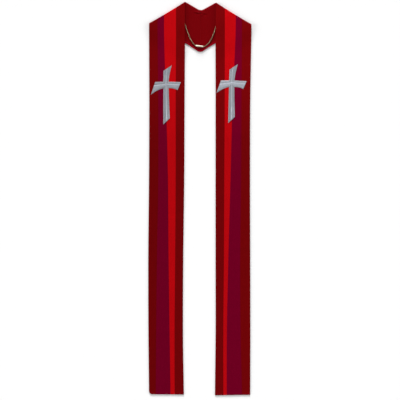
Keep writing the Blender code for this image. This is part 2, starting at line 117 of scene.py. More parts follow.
# Broad soft lights low down: which way each one's light goes across the table, as an angle to the
# right from straight down the view, how high it stands, how wide it looks and how strong it is.
Broad = namedtuple("Broad", "name way height width energy")
for broad in (
    Broad("beyond_shoulders", 4, 18, 18, 5.70),
    Broad("left_side", 90, 20, 24, 1.80),
    Broad("right_side", -90, 20, 24, 1.26),
):
    light = bpy.data.lights.new(broad.name, "SUN")
    light.energy = broad.energy
    light.angle = math.radians(broad.width)
    window = bpy.data.objects.new(broad.name, light)
    window.rotation_euler = (math.radians(broad.height - 90), 0, math.radians(broad.way))
    bpy.context.scene.collection.objects.link(window)

lens = bpy.data.cameras.new("camera")
lens.sensor_width = SENSOR
lens.lens = SENSOR * LENS_TO_SENSOR
lens.clip_end = 100
camera = bpy.data.objects.new("camera", lens)
camera.location = (*VIEW_CENTRE, VIEW_WIDTH * LENS_TO_SENSOR)
bpy.context.scene.collection.objects.link(camera)
bpy.context.scene.camera = camera
bpy.context.scene.view_settings.view_transform = "Standard"

# --- The neck chain -----------------------------------------------------------------------------
# A light cable chain of dulled bronze that keeps the bands from sliding apart. It lies across the
# lining of the back neck, goes through a small tube, and each end is closed on a ring.

# A band is its face cloth and its lining, each this thick, with this gap between them.
WALL = 1.2 * MM
GAP = 0.3 * MM
THICK = 2 * WALL + GAP
CHAIN_D = 3.0 * MM
SLEEVE_R = 2.7 * MM
SLEEVE_BORE_R = 2.1 * MM
CHAIN_DROP = 0.3 * MM  # the links lie this much lower than a round cord would
PITCH = 2.78 * MM
ROUTE_EVERY = 0.8 * MM


def linear(red, green, blue):
    """A colour of the light's own scale from the 0 to 255 that a screen shows."""
    shown = (value / 255 for value in (red, green, blue))
    return (*(v / 12.92 if v <= 0.04045 else ((v + 0.055) / 1.055) ** 2.4 for v in shown), 1.0)


CHAIN_METAL = linear(168, 151, 122)
DULLED_METAL = linear(112, 98, 74)
# The centreline in millimetres: across from the centre-back seam, up from the neck points, and up
# from where it lies on the lining, where RISE takes it into the tube.
RISE = (SLEEVE_R - SLEEVE_BORE_R + GAP) / MM
CHAIN_ROUTE = [
    (-61.5, -66.0, 0.0),
    (-57.6, -72.5, 0.0),
    (-53.9, -79.5, 0.0),
    (-51.1, -87.5, 0.0),
    (-47.7, -97.5, 0.0),
    (-43.0, -110.0, 0.0),
    (-37.6, -124.0, 0.0),
    (-31.0, -135.8, 0.0),
    (-25.0, -145.0, 0.3 * RISE),
    (-19.8, -151.2, 0.8 * RISE),
    (-15.4, -153.9, RISE),
    (-11.1, -154.5, RISE),
    (-2.8, -155.5, RISE),
    (5.5, -156.5, RISE),
    (9.8, -156.9, RISE),
    (15.6, -155.8, 0.8 * RISE),
    (22.2, -151.3, 0.3 * RISE),
    (28.6, -145.0, 0.0),
    (34.5, -137.0, 0.0),
    (39.8, -127.6, 0.0),
    (44.8, -115.6, 0.0),
    (49.0, -104.2, 0.0),
    (52.1, -93.4, 0.0),
    (54.9, -84.2, 0.0),
    (58.8, -76.0, 0.0),
    (63.4, -69.5, 0.0),
]
SLEEVE_LEFT, SLEEVE_MIDDLE, SLEEVE_RIGHT = CHAIN_ROUTE[10], CHAIN_ROUTE[12], CHAIN_ROUTE[14]

# The centre-back seam and the neck points' level, from the tube's place on the chain.
sleeve_low, sleeve_high = (np.array(corner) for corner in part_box("chain_sleeve"))
SEAM_X, NECK_Y = ((sleeve_low + sleeve_high) / 2)[:2] - np.array(SLEEVE_MIDDLE[:2]) * MM


def blend_steps(t, width, start, end, start_slope, end_slope):
    """A smooth step from start to end over this width, with these slopes, at t from 0 to 1."""
    return (
        (1 + 2 * t) * (1 - t) ** 2 * start
        + t * (1 - t) ** 2 * width * start_slope
        + t * t * (3 - 2 * t) * end
        + t * t * (t - 1) * width * end_slope
    )


def smooth_route(points, every):
    """Points at even steps along a smooth curve through the chain's route."""
    route = np.array(points) * MM
    route += [SEAM_X, NECK_Y, THICK + GAP + CHAIN_D / 2 - CHAIN_DROP]
    steps = np.linalg.norm(np.diff(route, axis=0), axis=1)
    along = np.concatenate([[0.0], np.cumsum(steps)])
    slopes = np.gradient(route, along, axis=0)
    places = np.linspace(0.0, along[-1], round(along[-1] / every) + 1)
    i = np.clip(np.searchsorted(along, places, side="right") - 1, 0, len(steps) - 1)
    t = ((places - along[i]) / steps[i])[:, None]
    return blend_steps(t, steps[i][:, None], route[i], route[i + 1], slopes[i], slopes[i + 1])


def add_node(tree, kind, inputs=(), **settings):
    """Adds a node. An input is a number, a colour or another node's output, by name or by place."""
    made = tree.nodes.new(kind)
    for name, value in settings.items():
        setattr(made, name, value)
    for name, value in dict(inputs).items():
        if isinstance(value, bpy.types.NodeSocket):
            tree.links.new(value, made.inputs[name])
        else:
            made.inputs[name].default_value = value
    return made


def calc(tree, operation, *values):
    """The output of a Math node on these values."""
    return add_node(tree, "ShaderNodeMath", enumerate(values), operation=operation).outputs[0]


def shape_tree(name, sizes):
    """A Geometry Nodes tree that takes edges, these sizes and a finish: the tree and its inputs."""
    tree = bpy.data.node_groups.new(name, "GeometryNodeTree")
    tree.interface.new_socket("Geometry", in_out="INPUT", socket_type="NodeSocketGeometry")
    for label, kind in sizes.items():
        tree.interface.new_socket(label, in_out="INPUT", socket_type=kind)
    tree.interface.new_socket("Finish", in_out="INPUT", socket_type="NodeSocketMaterial")
    tree.interface.new_socket("Geometry", in_out="OUTPUT", socket_type="NodeSocketGeometry")
    return tree, tree.nodes.new("NodeGroupInput").outputs


def end_tree(tree, geometry, finish):
    """Ends a tree: what it made, as plain smooth mesh with its finish."""
    plain = add_node(tree, "GeometryNodeRealizeInstances", {"Geometry": geometry})
    smooth = add_node(tree, "GeometryNodeSetShadeSmooth", {"Geometry": plain.outputs[0]})
    inputs = {"Geometry": smooth.outputs[0], "Material": finish}
    finished = add_node(tree, "GeometryNodeSetMaterial", inputs)
    tree.links.new(finished.outputs[0], tree.nodes.new("NodeGroupOutput").inputs[0])


def give_values(mesh, label, values):
    """Gives a mesh an attribute with a value for each point."""
    mesh.attributes.new(label, "FLOAT", "POINT").data.foreach_set("value", values)


def made_by(tree, name, points, edges, sizes, shades=None):
    """The piece that a tree makes along these edges, with a shade for each point if it has any."""
    mesh = bpy.data.meshes.new(name)
    mesh.from_pydata(np.asarray(points, float).tolist(), np.asarray(edges, int).tolist(), [])
    if shades is not None:
        give_values(mesh, "shade", shades)
    made = bpy.data.objects.new(name, mesh)
    bpy.context.scene.collection.objects.link(made)
    modifier = made.modifiers.new(tree.name, "NODES")
    modifier.node_group = tree
    for item in tree.interface.items_tree:
        if item.name in sizes and item.in_out == "INPUT":
            modifier[item.identifier] = sizes[item.name]
    evaluated = made.evaluated_get(bpy.context.evaluated_depsgraph_get())
    plain = bpy.data.meshes.new_from_object(evaluated)
    made.modifiers.remove(modifier)
    made.data = plain
    plain.name = name
    return made


def in_a_row(count):
    """The edges that join points one after another."""
    return [(k, k + 1) for k in range(count - 1)]


def swept(tree, curve, radius, around, capped=False):
    """Round wire or thread along a curve, with this many points round it."""
    inputs = {"Resolution": around, "Radius": radius}
    ring = add_node(tree, "GeometryNodeCurvePrimitiveCircle", inputs)
    inputs = {"Curve": curve, "Profile Curve": ring.outputs[0], "Fill Caps": capped}
    return add_node(tree, "GeometryNodeCurveToMesh", inputs).outputs[0]


def set_along(tree, edges, every, piece, axis, angle):
    """Copies of a piece at even steps along a line, each turned about an axis of its own."""
    line = add_node(tree, "GeometryNodeMeshToCurve", {"Mesh": edges})
    inputs = {"Curve": line.outputs[0], "Length": every}
    even = add_node(tree, "GeometryNodeResampleCurve", inputs, mode="LENGTH")
    inputs = {"Vector": add_node(tree, "GeometryNodeInputTangent").outputs[0]}
    facing = add_node(tree, "FunctionNodeAlignRotationToVector", inputs, axis="X")
    own = add_node(tree, "FunctionNodeAxisAngleToRotation", {"Axis": axis, "Angle": angle})
    inputs = {"Rotation": facing.outputs[0], "Rotate By": own.outputs[0]}
    way = add_node(tree, "FunctionNodeRotateRotation", inputs, rotation_space="LOCAL")
    inputs = {"Points": even.outputs[0], "Instance": piece, "Rotation": way.outputs[0]}
    return add_node(tree, "GeometryNodeInstanceOnPoints", inputs).outputs[0]


# Each link is an oval with rounded corners. Every other one leans the other way.
NUMBER = "NodeSocketFloat"
links_tree, into = shape_tree(
    "chain_links", dict.fromkeys(("Pitch", "Link Length", "Link Width", "Wire"), NUMBER)
)
inputs = {"Width": into["Link Length"], "Height": into["Link Width"]}
oval = add_node(links_tree, "GeometryNodeCurvePrimitiveQuadrilateral", inputs)
inputs = {"Curve": oval.outputs[0], "Count": 5, "Radius": 1.0, "Limit Radius": True}
rounded = add_node(links_tree, "GeometryNodeFilletCurve", inputs, mode="POLY")
link = swept(links_tree, rounded.outputs[0], into["Wire"], around=7)
number = add_node(links_tree, "GeometryNodeInputIndex").outputs[0]
odd = calc(links_tree, "MODULO", number, 2.0)
roll = calc(links_tree, "MULTIPLY_ADD", odd, math.radians(90), math.radians(-45))
all_links = set_along(links_tree, into["Geometry"], into["Pitch"], link, (1.0, 0.0, 0.0), roll)
end_tree(links_tree, all_links, into["Finish"])


def mixed(tree, share, first, second):
    """A colour between two, by this share of the second."""
    inputs = {0: share, 6: first, 7: second}
    return add_node(tree, "ShaderNodeMix", inputs, data_type="RGBA").outputs[2]


def bump(tree, shader, height, depth):
    """Gives a shader's surface this height, in metres from its lowest to its highest."""
    raised = add_node(tree, "ShaderNodeBump", {"Height": height, "Distance": depth})
    tree.links.new(raised.outputs[0], shader.inputs["Normal"])


def uneven_material(name, colour, scale, detail, smoothest, spread, depth, metallic=0.0):
    """A material with one noise all over it that goes from its smoothest up to this much rougher,
    and raises it by up to this depth: the material, its node tree, its shader and the noise."""
    made, shader = plain_material(name, colour, smoothest, metallic)
    tree = made.node_tree
    where = add_node(tree, "ShaderNodeTexCoord").outputs["Object"]
    inputs = {"Vector": where, "Scale": scale, "Detail": detail}
    noise = add_node(tree, "ShaderNodeTexNoise", inputs).outputs["Fac"]
    tree.links.new(calc(tree, "MULTIPLY_ADD", noise, spread, smoothest), shader.inputs["Roughness"])
    bump(tree, shader, noise, depth)
    return made, tree, shader, noise


# Bronze that has dulled unevenly: darker and rougher where the links have lost their polish.
looks = {"scale": 420.0, "detail": 3.0, "smoothest": 0.25, "spread": 0.35, "depth": 0.03 * MM}
chain_metal, tree, shader, dull = uneven_material("chain_metal", CHAIN_METAL, **looks, metallic=0.8)
tree.links.new(mixed(tree, dull, CHAIN_METAL, DULLED_METAL), shader.inputs["Base Color"])

fine_route = smooth_route(CHAIN_ROUTE, ROUTE_EVERY)
chain_sizes = {
    "Pitch": PITCH,
    "Link Length": 3.9 * MM,
    "Link Width": 2.9 * MM,
    "Wire": 0.56 * MM,
    "Finish": chain_metal,
}
links = made_by(links_tree, "chain_links", fine_route, in_a_row(len(fine_route)), chain_sizes)


def turned(profile, around, at):
    """A closed profile of (along, out) turned about an axis: its points and its faces."""
    points = [at(*spot, math.tau * i / around) for i in range(around) for spot in profile]
    count = len(profile)
    faces = []
    for i in range(around):
        here, there = i * count, (i + 1) % around * count
        for j in range(count):
            k = (j + 1) % count
            faces.append((there + j, there + k, here + k, here + j))
    return points, faces


# The ring at each end: round wire, closed, lying flat on the lining under the band's edge, which it
# is sewn to.
RING_WIRE = 0.7 * MM
WIRE_AROUND, RING_AROUND = 14, 48
wire_turns = [math.tau * k / WIRE_AROUND for k in range(WIRE_AROUND)]
profile = [(RING_WIRE * math.sin(turn), RING_WIRE * math.cos(turn)) for turn in wire_turns]
rings = []
for side in ("left", "right"):
    low, high = (np.array(corner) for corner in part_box(f"chain_ring_{side}"))
    middle = (low + high) / 2
    ring_r = (high[0] - low[0]) / 2 - RING_WIRE

    def ring_point(along, out, turn):
        reach = ring_r + out
        return middle + [reach * math.cos(turn), reach * math.sin(turn), along]

    ring = mesh_piece(f"ring_{side}", *turned(profile, RING_AROUND, ring_point), chain_metal)
    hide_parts(f"chain_ring_{side}")
    rings.append(ring)

# --- The tube on the chain ----------------------------------------------------------------------
# A short tube of glossy ivory plastic with softly rounded rims. The chain runs through it and lies
# on the bottom of its bore.
IVORY = linear(206, 207, 186)
WARMER_IVORY = linear(198, 196, 170)
SLEEVE_LENGTH = 25.4 * MM
SLEEVE_AROUND = 56
RIM_R = (SLEEVE_R - SLEEVE_BORE_R) / 2
RIM_STEPS = 6

looks = {"scale": 160.0, "detail": 2.0, "smoothest": 0.22, "spread": 0.15, "depth": 0.01 * MM}
sleeve_ivory, tree, shader, cloud = uneven_material("sleeve_ivory", IVORY, **looks)
shader.inputs["Coat Weight"].default_value = 0.3
shader.inputs["Coat Roughness"].default_value = 0.1
tree.links.new(mixed(tree, cloud, IVORY, WARMER_IVORY), shader.inputs["Base Color"])

profile = []
for end in (-1, 1):
    for k in range(RIM_STEPS + 1):
        turn = math.pi * k / RIM_STEPS
        out = (SLEEVE_R + SLEEVE_BORE_R) / 2 + end * RIM_R * math.cos(turn)
        profile.append((end * (SLEEVE_LENGTH / 2 - RIM_R + RIM_R * math.sin(turn)), out))
left, right = np.array(SLEEVE_LEFT) * MM, np.array(SLEEVE_RIGHT) * MM
heading = (right - left) / np.linalg.norm(right - left)
beside = np.array([-heading[1], heading[0], 0.0])
sleeve_centre = (sleeve_low + sleeve_high) / 2


def sleeve_point(along, out, turn):
    up = out * math.sin(turn)
    return sleeve_centre + along * heading + out * math.cos(turn) * beside + [0, 0, up]


sleeve = mesh_piece("sleeve", *turned(profile, SLEEVE_AROUND, sleeve_point), sleeve_ivory)
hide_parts("chain_sleeve")
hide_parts("chain")
for piece in (links, sleeve, *rings):
    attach(piece, "root")

# --- The strips ---------------------------------------------------------------------------------
# Each band is four strips of slubbed cloth over a firm interlining, sewn edge to edge with the
# seams pressed open. They are turned in round the band's edges and folded back over the shoulder.

# How far down the band a level is, and how far out from the centre-back seam the band's edges and
# the seams between its strips are there, in millimetres.
Section = namedtuple("Section", "down inner bright_in bright_out plum_out outer")
SECTIONS = {
    "left": [
        Section(80, 53.6, 85.0, 127.0, 149.5, 179.6),
        Section(340, 55.2, 86.0, 120.4, 147.3, 178.8),
        Section(620, 56.4, 86.2, 113.4, 147.3, 179.8),
        Section(900, 59.8, 88.0, 111.2, 151.8, 182.3),
        Section(1180, 60.6, 90.2, 107.4, 154.6, 181.6),
        Section(1374, 57.6, 89.8, 104.4, 155.8, 179.6),
    ],
    "right": [
        Section(0, 55.2, 85.6, 124.0, 145.3, 178.8),
        Section(80, 53.6, 85.6, 124.0, 145.3, 178.8),
        Section(340, 53.4, 85.2, 113.2, 143.7, 174.8),
        Section(620, 53.2, 83.8, 105.8, 142.6, 173.8),
        Section(900, 53.2, 82.5, 98.2, 139.4, 174.5),
        Section(1180, 53.2, 80.2, 92.8, 141.2, 175.0),
        Section(1374, 50.9, 80.6, 92.6, 145.6, 174.4),
    ],
}
# How far down the neck point and the hem's two corners are, and how round those corners are.
End = namedtuple("End", "neck_down hem_inner hem_outer corner_inner corner_outer")
ENDS = {
    "left": End(0.0, 1374.5, 1373.5, 1.2, 12.0),
    "right": End(2.8, 1377.4, 1375.3, 3.0, 2.0),
}
# The chain under a front's inner edge lifts it: how far, this far down the band, how far that
# reaches each way, and how far in from the edge it starts to go and is gone.
CHAIN_LIFT = 3.4 * MM
CHAIN_DOWN = {"left": 73 * MM, "right": 77 * MM}
CHAIN_EASE = 72 * MM
LIFT_GOES, LIFT_GONE = 17 * MM, 60 * MM
# The shoulder fold: how its line slopes and sags, how far apart it holds the two layers, over what
# length they close up below it and to what, and over what length the front then comes down to the
# table past the back neck's side.
FOLD_ANGLES = {"left": math.radians(30.8), "right": math.radians(31.5)}
FOLD_SAG = 1.2 * MM
FOLD_ROOM = 2.3 * MM
FOLD_EASE = 60 * MM
LAYER_ROOM = 0.5 * MM
STEP_DOWN = 66 * MM
PAST_HEM = 1.4  # a level below both hems
HEM_MARGIN = 14 * MM  # the front's rows end this far above the hem, where the hem's own begin
# The centre-back seam: how far down its top and the point of the V are, how far aside they lie, how
# near to it the edges curve into line, and how much the back neck's edges bow.
SEAM_TOP_DOWN, SEAM_POINT_DOWN = 32.1 * MM, 179.3 * MM
SEAM_TOP_ASIDE, SEAM_POINT_ASIDE = 1.5 * MM, -0.8 * MM
SEAM_CURVE = 11 * MM
BACK_BOW = 0.12
BACK_STARTS = 11 * MM  # the back neck's rows run from the roll to this far from the seam
ROLL_IN = FOLD_ROOM / 2
ROLL_MID = ROLL_IN + THICK / 2
ROLL_OUT = ROLL_IN + THICK
ROLL_CENTRE_Z = THICK + ROLL_IN
INSIDE = 1.0  # an inset for what is nowhere near an edge or a seam

# A band's way from its flat cut to where it lies: its table of lines, the fold's slope, the ways
# along the fold, past it and out of the back neck's side, and where in plan the fold's axis passes
# under the neck point and under the shoulder's corner.
Band = namedtuple("Band", "side sign end downs lines slope along past out_of_back axis shoulder")
bands = {}
for side, sign in (("left", -1.0), ("right", 1.0)):
    downs = np.array([section.down for section in SECTIONS[side]]) * MM
    lines = {
        name: np.array([getattr(section, name) for section in SECTIONS[side]]) * MM
        for name in Section._fields[1:]
    }
    angle = FOLD_ANGLES[side]
    turns = angle + math.pi / 2, angle, 2 * angle + math.pi / 2
    ways = [np.array([math.sin(turn), math.cos(turn)]) for turn in turns]
    along, past = ways[:2]
    axis = np.array([lines["inner"][0], -ENDS[side].neck_down * MM]) - ROLL_OUT * past
    shoulder = axis + (lines["outer"][0] - axis[0]) / along[0] * along
    bands[side] = Band(
        side, sign, ENDS[side], downs, lines, math.tan(angle), *ways, axis, shoulder
    )

# A spot is a place across the band: a mix of two of its lines, moved over. Its inset is from a
# turned edge, and to_seam from the nearest seam between two strips.
Spot = namedtuple("Spot", "line other mix shift inset to_seam")
Columns = namedtuple("Columns", "outs slopes inset to_seam")
Row = namedtuple("Row", "zone at")


def eased(t):
    """0 to 1 with level ends, as t goes from 0 to 1."""
    t = np.clip(t, 0.0, 1.0)
    return t * t * (3 - 2 * t)


def columns_at(band, spots):
    """The lines that run down a band through these spots, as arrays."""
    outs = np.array([
        (1 - spot.mix) * band.lines[spot.line] + spot.mix * band.lines[spot.other] + spot.shift
        for spot in spots
    ]).T
    slopes = np.gradient(outs, band.downs, axis=0)
    slopes[0] = 0.0
    insets = np.array([spot.inset for spot in spots])
    return Columns(outs, slopes, insets, np.array([spot.to_seam for spot in spots]))


def across(band, columns, down):
    """How far out from the centre-back seam each column is, each at its own level."""
    at = np.clip(down + np.zeros(len(columns.inset)), band.downs[0], band.downs[-1])
    i = np.clip(np.searchsorted(band.downs, at) - 1, 0, len(band.downs) - 2)
    width = band.downs[i + 1] - band.downs[i]
    n = np.arange(len(at))
    outs, slopes = columns.outs, columns.slopes
    t = (at - band.downs[i]) / width
    return blend_steps(t, width, outs[i, n], outs[i + 1, n], slopes[i, n], slopes[i + 1, n])


def share_across(band, x):
    """How far across the band's top this is, from 0 at its inner edge to 1 at its outer one."""
    inner, outer = band.lines["inner"][0], band.lines["outer"][0]
    return np.clip((x - inner) / (outer - inner), 0.0, 1.0)


def sag(band, x):
    """How far the shoulder line hangs below straight at x."""
    share = share_across(band, x)
    return FOLD_SAG * 4 * share * (1 - share)


def on_axis(band, x, shift=0.0):
    """Where a column that comes up the band at x meets the fold's axis in plan, moved along it."""
    along = (x - band.axis[0]) / band.along[0] + shift
    return band.axis + along[:, None] * band.along - np.stack([0 * x, sag(band, x)], axis=-1)


def held_up(band, x, y):
    """How far the front is held up off the table by what lies under it."""
    at = np.stack([x, y], axis=-1)
    covered = 1 - eased((at - band.shoulder) @ band.out_of_back / STEP_DOWN)
    from_fold = (band.axis - at) @ band.past - sag(band, x) * band.past[1]
    opened = 1 - eased(from_fold / FOLD_EASE)
    along = 1 - eased(abs(-y - CHAIN_DOWN[band.side]) / CHAIN_EASE)
    inward = x - band.lines["inner"][0] - LIFT_GOES
    aside = 1 - eased(inward / (LIFT_GONE - LIFT_GOES))
    under = (THICK + LAYER_ROOM) * covered + (FOLD_ROOM - LAYER_ROOM) * opened
    return under + CHAIN_LIFT * along * aside


def hem_y(band, x):
    """The hem's level at x, with its corners rounded."""
    from_inner = np.maximum(x - band.lines["inner"][-1], 0.0)
    from_outer = np.maximum(band.lines["outer"][-1] - x, 0.0)
    share = from_inner / (from_inner + from_outer)
    y = -(band.end.hem_inner * (1 - share) + band.end.hem_outer * share) * MM
    corners = (from_inner, band.end.corner_inner * MM), (from_outer, band.end.corner_outer * MM)
    for inset, radius in corners:
        y += radius - np.sqrt(radius**2 - np.clip(radius - inset, 0.0, radius) ** 2)
    return y


def band_points(band, columns, row, h):
    """A row of points across a band at height h in the cloth, where 0 is the lining's outside."""
    if row.zone in ("front", "hem"):
        fold_y = on_axis(band, across(band, columns, 0.0))[:, 1]
        end_y = hem_y(band, across(band, columns, PAST_HEM))
        y = end_y + row.at
        if row.zone == "front":
            y = fold_y + row.at * (end_y + HEM_MARGIN - fold_y)
        x = across(band, columns, -y)
        return np.stack([x, y, held_up(band, x, y) + h], axis=-1)
    turn = row.at * math.pi if row.zone == "roll" else math.pi
    out = across(band, columns, 0.0)
    radius = ROLL_IN + h + 0 * out
    plan = on_axis(band, out, -turn * ROLL_MID * band.slope)
    x, y = (plan + math.sin(turn) * radius[:, None] * band.past).T
    if row.zone in ("back", "seam"):
        share = share_across(band, out)
        start_x, start_y = x, y
        x = row.at + 0 * x if row.zone == "seam" else start_x + row.at * (BACK_STARTS - start_x)
        seam_y = -(SEAM_TOP_DOWN + share * (SEAM_POINT_DOWN - SEAM_TOP_DOWN))
        slope = (start_y - seam_y) / start_x
        bow = BACK_BOW * share * (1 - x / start_x)
        from_curve = np.maximum(SEAM_CURVE - x, 0.0)
        turned_in = (slope + BACK_BOW * share) * from_curve**2 / (2 * SEAM_CURVE)
        y = seam_y + x * (slope + bow) + turned_in
        seam_x = band.sign * (SEAM_TOP_ASIDE + share * (SEAM_POINT_ASIDE - SEAM_TOP_ASIDE))
        x = x + seam_x * (1 - x / start_x)
    return np.stack([x, y, ROLL_CENTRE_Z + radius * math.cos(turn) + 0 * x], axis=-1)


# Where the rows are: close together at the centre-back seam, in the roll and at the hem. The cloth
# is turned in this wide, slopes off over this step and is rounded where it turns.
TURN = 6.0 * MM
TURN_STEP = 0.3 * MM
EDGE_R = THICK / 2
EDGE_TURNS = [math.radians(angle) for angle in (8, 20, 34, 48, 62, 76, 90)]
EDGE_INSETS = [EDGE_R * (1 - math.cos(angle)) for angle in EDGE_TURNS]
TURNED_INSETS = [*EDGE_INSETS, 3.0 * MM, 4.8 * MM, TURN, TURN + TURN_STEP]
SEAM_INSETS = [x * MM for x in (0.02, 0.15, 0.35, 0.7, 1.2, 2.0, 3.2)]
CENTRE_INSETS = [x * MM for x in (0.02, 0.2, 0.45, 0.8, 1.4, 2.2, 3.2, 4.5, 6.2, 8.4, 11.0)]
ROLL_STEPS = 24
CLOTH_LENGTH = 1.374


def band_rows(back_steps, front_step, hem_insets):
    """The rows of a band's pieces, from the centre-back seam to the hem."""
    rows = [Row("seam", x) for x in CENTRE_INSETS]
    rows += [Row("back", k / back_steps) for k in range(back_steps - 1, 0, -1)]
    rows += [Row("roll", k / ROLL_STEPS) for k in range(ROLL_STEPS, 0, -1)]
    front = np.linspace(0.0, 1.0, round(CLOTH_LENGTH / front_step))
    rows += [Row("front", float(at)) for at in front]
    return rows + [Row("hem", inset) for inset in sorted(hem_insets, reverse=True)]


def edge_spots(line, inwards, insets, margin=0.0):
    """The spots of a turned edge, from the edge inwards. It lies this margin inside the line."""
    return [Spot(line, line, 0.0, inwards * (margin + inset), inset, INSIDE) for inset in insets]


def seam_spots(line, inwards):
    """The spots beside a seam between two strips, from the seam inwards."""
    return [Spot(line, line, 0.0, inwards * inset, INSIDE, inset) for inset in SEAM_INSETS]


def spread_spots(first, last, count, gathered=1.0):
    """A row of spots: those at its two sides and this many between, gathered towards the first."""
    a, b = first[-1], last[-1]
    spots = list(first)
    for k in range(1, count + 1):
        mix = (k / (count + 1)) ** gathered
        shift = (1 - mix) * a.shift + mix * b.shift
        spots.append(Spot(a.line, b.line, mix, shift, INSIDE, INSIDE))
    return spots + list(reversed(last))


# The face cloth's two sides: rounded at the turned edges, where it is double, a little lower inside
# them, and dipping into a ditch at each seam.
DITCH = 0.5 * MM
DITCH_WIDTH = 0.8 * MM
ALLOWANCE = 0.12 * MM
ALLOWANCE_FROM, ALLOWANCE_FADE = 5 * MM, 2 * MM


def insets_on(columns, row, margin=0.0):
    """How far in from a turned edge each column of a row is, where the hem's has this margin."""
    return np.minimum(columns.inset, row.at - margin if row.zone == "hem" else INSIDE)


def edge_round(inset):
    """How much a turned edge's roundness takes off each side of the band, this far in."""
    return EDGE_R - np.sqrt(EDGE_R**2 - np.clip(EDGE_R - inset, 0.0, EDGE_R) ** 2)


def face_outside(columns, row):
    """How high in the cloth the right side is."""
    inset = insets_on(columns, row)
    ditch = DITCH * np.exp(-columns.to_seam / DITCH_WIDTH)
    inside = eased((inset - ALLOWANCE_FROM) / ALLOWANCE_FADE)
    return THICK - edge_round(inset) - ditch - ALLOWANCE * inside


def face_inside(columns, row):
    """How high in the cloth the wrong side is: on the lining, or right round it where turned in."""
    inset = insets_on(columns, row)
    return np.where(inset <= TURN, edge_round(inset), WALL + GAP)


def side_points(band, columns, rows, height):
    """The points of one side of a piece, row by row, at the height that this gives for each row."""
    return np.stack([band_points(band, columns, row, height(columns, row)) for row in rows])


# Soft creases and ridges left by folding and storing, on the right side of the bands: where their
# middle is, how they turn, how far they reach each way and how high they are, in millimetres and
# degrees.
Crease = namedtuple("Crease", "across down turn half_length half_width rise")
FRONT_CREASES = {
    "left": [
        Crease(96, 118, 62, 40, 9, 0.30),
        Crease(150, 236, 24, 30, 8, -0.25),
        Crease(118, 520, 8, 55, 13, 0.28),
        Crease(82, 742, -14, 38, 9, -0.25),
        Crease(140, 905, 11, 46, 12, 0.25),
        Crease(104, 1150, -6, 60, 14, 0.30),
        Crease(150, 1290, 18, 34, 10, -0.22),
    ],
    "right": [
        Crease(88, 132, -58, 36, 10, 0.30),
        Crease(148, 210, -20, 28, 8, -0.22),
        Crease(112, 470, 10, 60, 14, 0.26),
        Crease(92, 660, -9, 42, 11, -0.24),
        Crease(146, 858, 5, 50, 12, 0.28),
        Crease(110, 1075, 13, 48, 13, -0.20),
        Crease(76, 1262, -12, 40, 10, 0.26),
    ],
}
# The cloth bunches a little where the V is clipped and turned at the centre-back seam.
BACK_CREASES = {
    "left": [
        Crease(13, 37.0, 17, 10, 2.4, 1.15),
        Crease(8, 43.2, 4, 9, 2.4, -0.6),
        Crease(0, 34.2, 0, 3.6, 1.9, 0.9),
        Crease(51.5, 12.6, 0, 3.0, 1.9, 0.8),
        Crease(24, 96, 74, 34, 9, 0.30),
    ],
    "right": [
        Crease(8, 38.8, -14, 8, 2.4, 1.1),
        Crease(3, 46.6, 0, 6, 2.4, 0.9),
        Crease(17.6, 46.4, -4, 6, 2.6, -1.0),
        Crease(0, 34.2, 0, 3.6, 1.9, 0.9),
        Crease(51.0, 12.6, 0, 3.0, 1.9, 0.8),
        Crease(30, 84, -70, 30, 8, 0.26),
        Crease(8, 120, 84, 26, 7, -0.20),
    ],
}


def creased(band, points, creases):
    """How far the creases of this band raise the cloth at these points."""
    rise = np.zeros(points.shape[:-1])
    for crease in creases[band.side]:
        dx, dy = points[..., 0] - crease.across * MM, points[..., 1] + crease.down * MM
        cos, sin = math.cos(math.radians(crease.turn)), math.sin(math.radians(crease.turn))
        along = (dx * cos + dy * sin) / (crease.half_length * MM)
        beside = (dy * cos - dx * sin) / (crease.half_width * MM)
        rise += crease.rise * MM * np.exp(-(along**4) - beside**2)
    return rise


# The puckers beside a seam: how high they are and how far they reach. Two waves along the seam make
# them, with these steps and shares, and a slow third one makes them fade and return by this share.
PUCKER = 0.11 * MM
PUCKER_REACH = 4.5 * MM
PUCKER_STEPS = 15.7 * MM, 23.1 * MM, 236 * MM
PUCKER_SHARES = 0.6, 0.4
PUCKER_FADES = 0.35


def puckered(columns, points, phase):
    """The slight puckers that sewing leaves beside a seam, uneven along it."""
    short, long, slow = (np.sin(math.tau * points[..., 1] / step + phase) for step in PUCKER_STEPS)
    wave = PUCKER_SHARES[0] * short + PUCKER_SHARES[1] * long
    wave *= 1 - PUCKER_FADES + PUCKER_FADES * slow
    return PUCKER * wave * np.exp(-columns.to_seam / PUCKER_REACH)


def laid_out(band, points):
    """Points of a band, moved to where the stole lies."""
    return points * [band.sign, 1.0, 1.0] + [SEAM_X, NECK_Y, 0.0]


def wall_faces(rows, columns, flipped):
    """The faces of a closed wall over a grid: one side, the other side and the rim between them."""
    first = np.arange(rows * columns).reshape(rows, columns)
    corners = first[:-1, :-1], first[1:, :-1], first[1:, 1:], first[:-1, 1:]
    outside = np.stack(corners, axis=-1).reshape(-1, 4)
    inside = outside[:, ::-1] + rows * columns
    rim = np.concatenate([first[:, 0], first[-1, 1:], first[-2::-1, -1], first[0, -2:0:-1]])
    after = np.roll(rim, -1)
    sides = np.stack([rim, rim + rows * columns, after + rows * columns, after], axis=-1)
    faces = np.concatenate([outside, inside, sides])
    return faces[:, ::-1] if flipped else faces


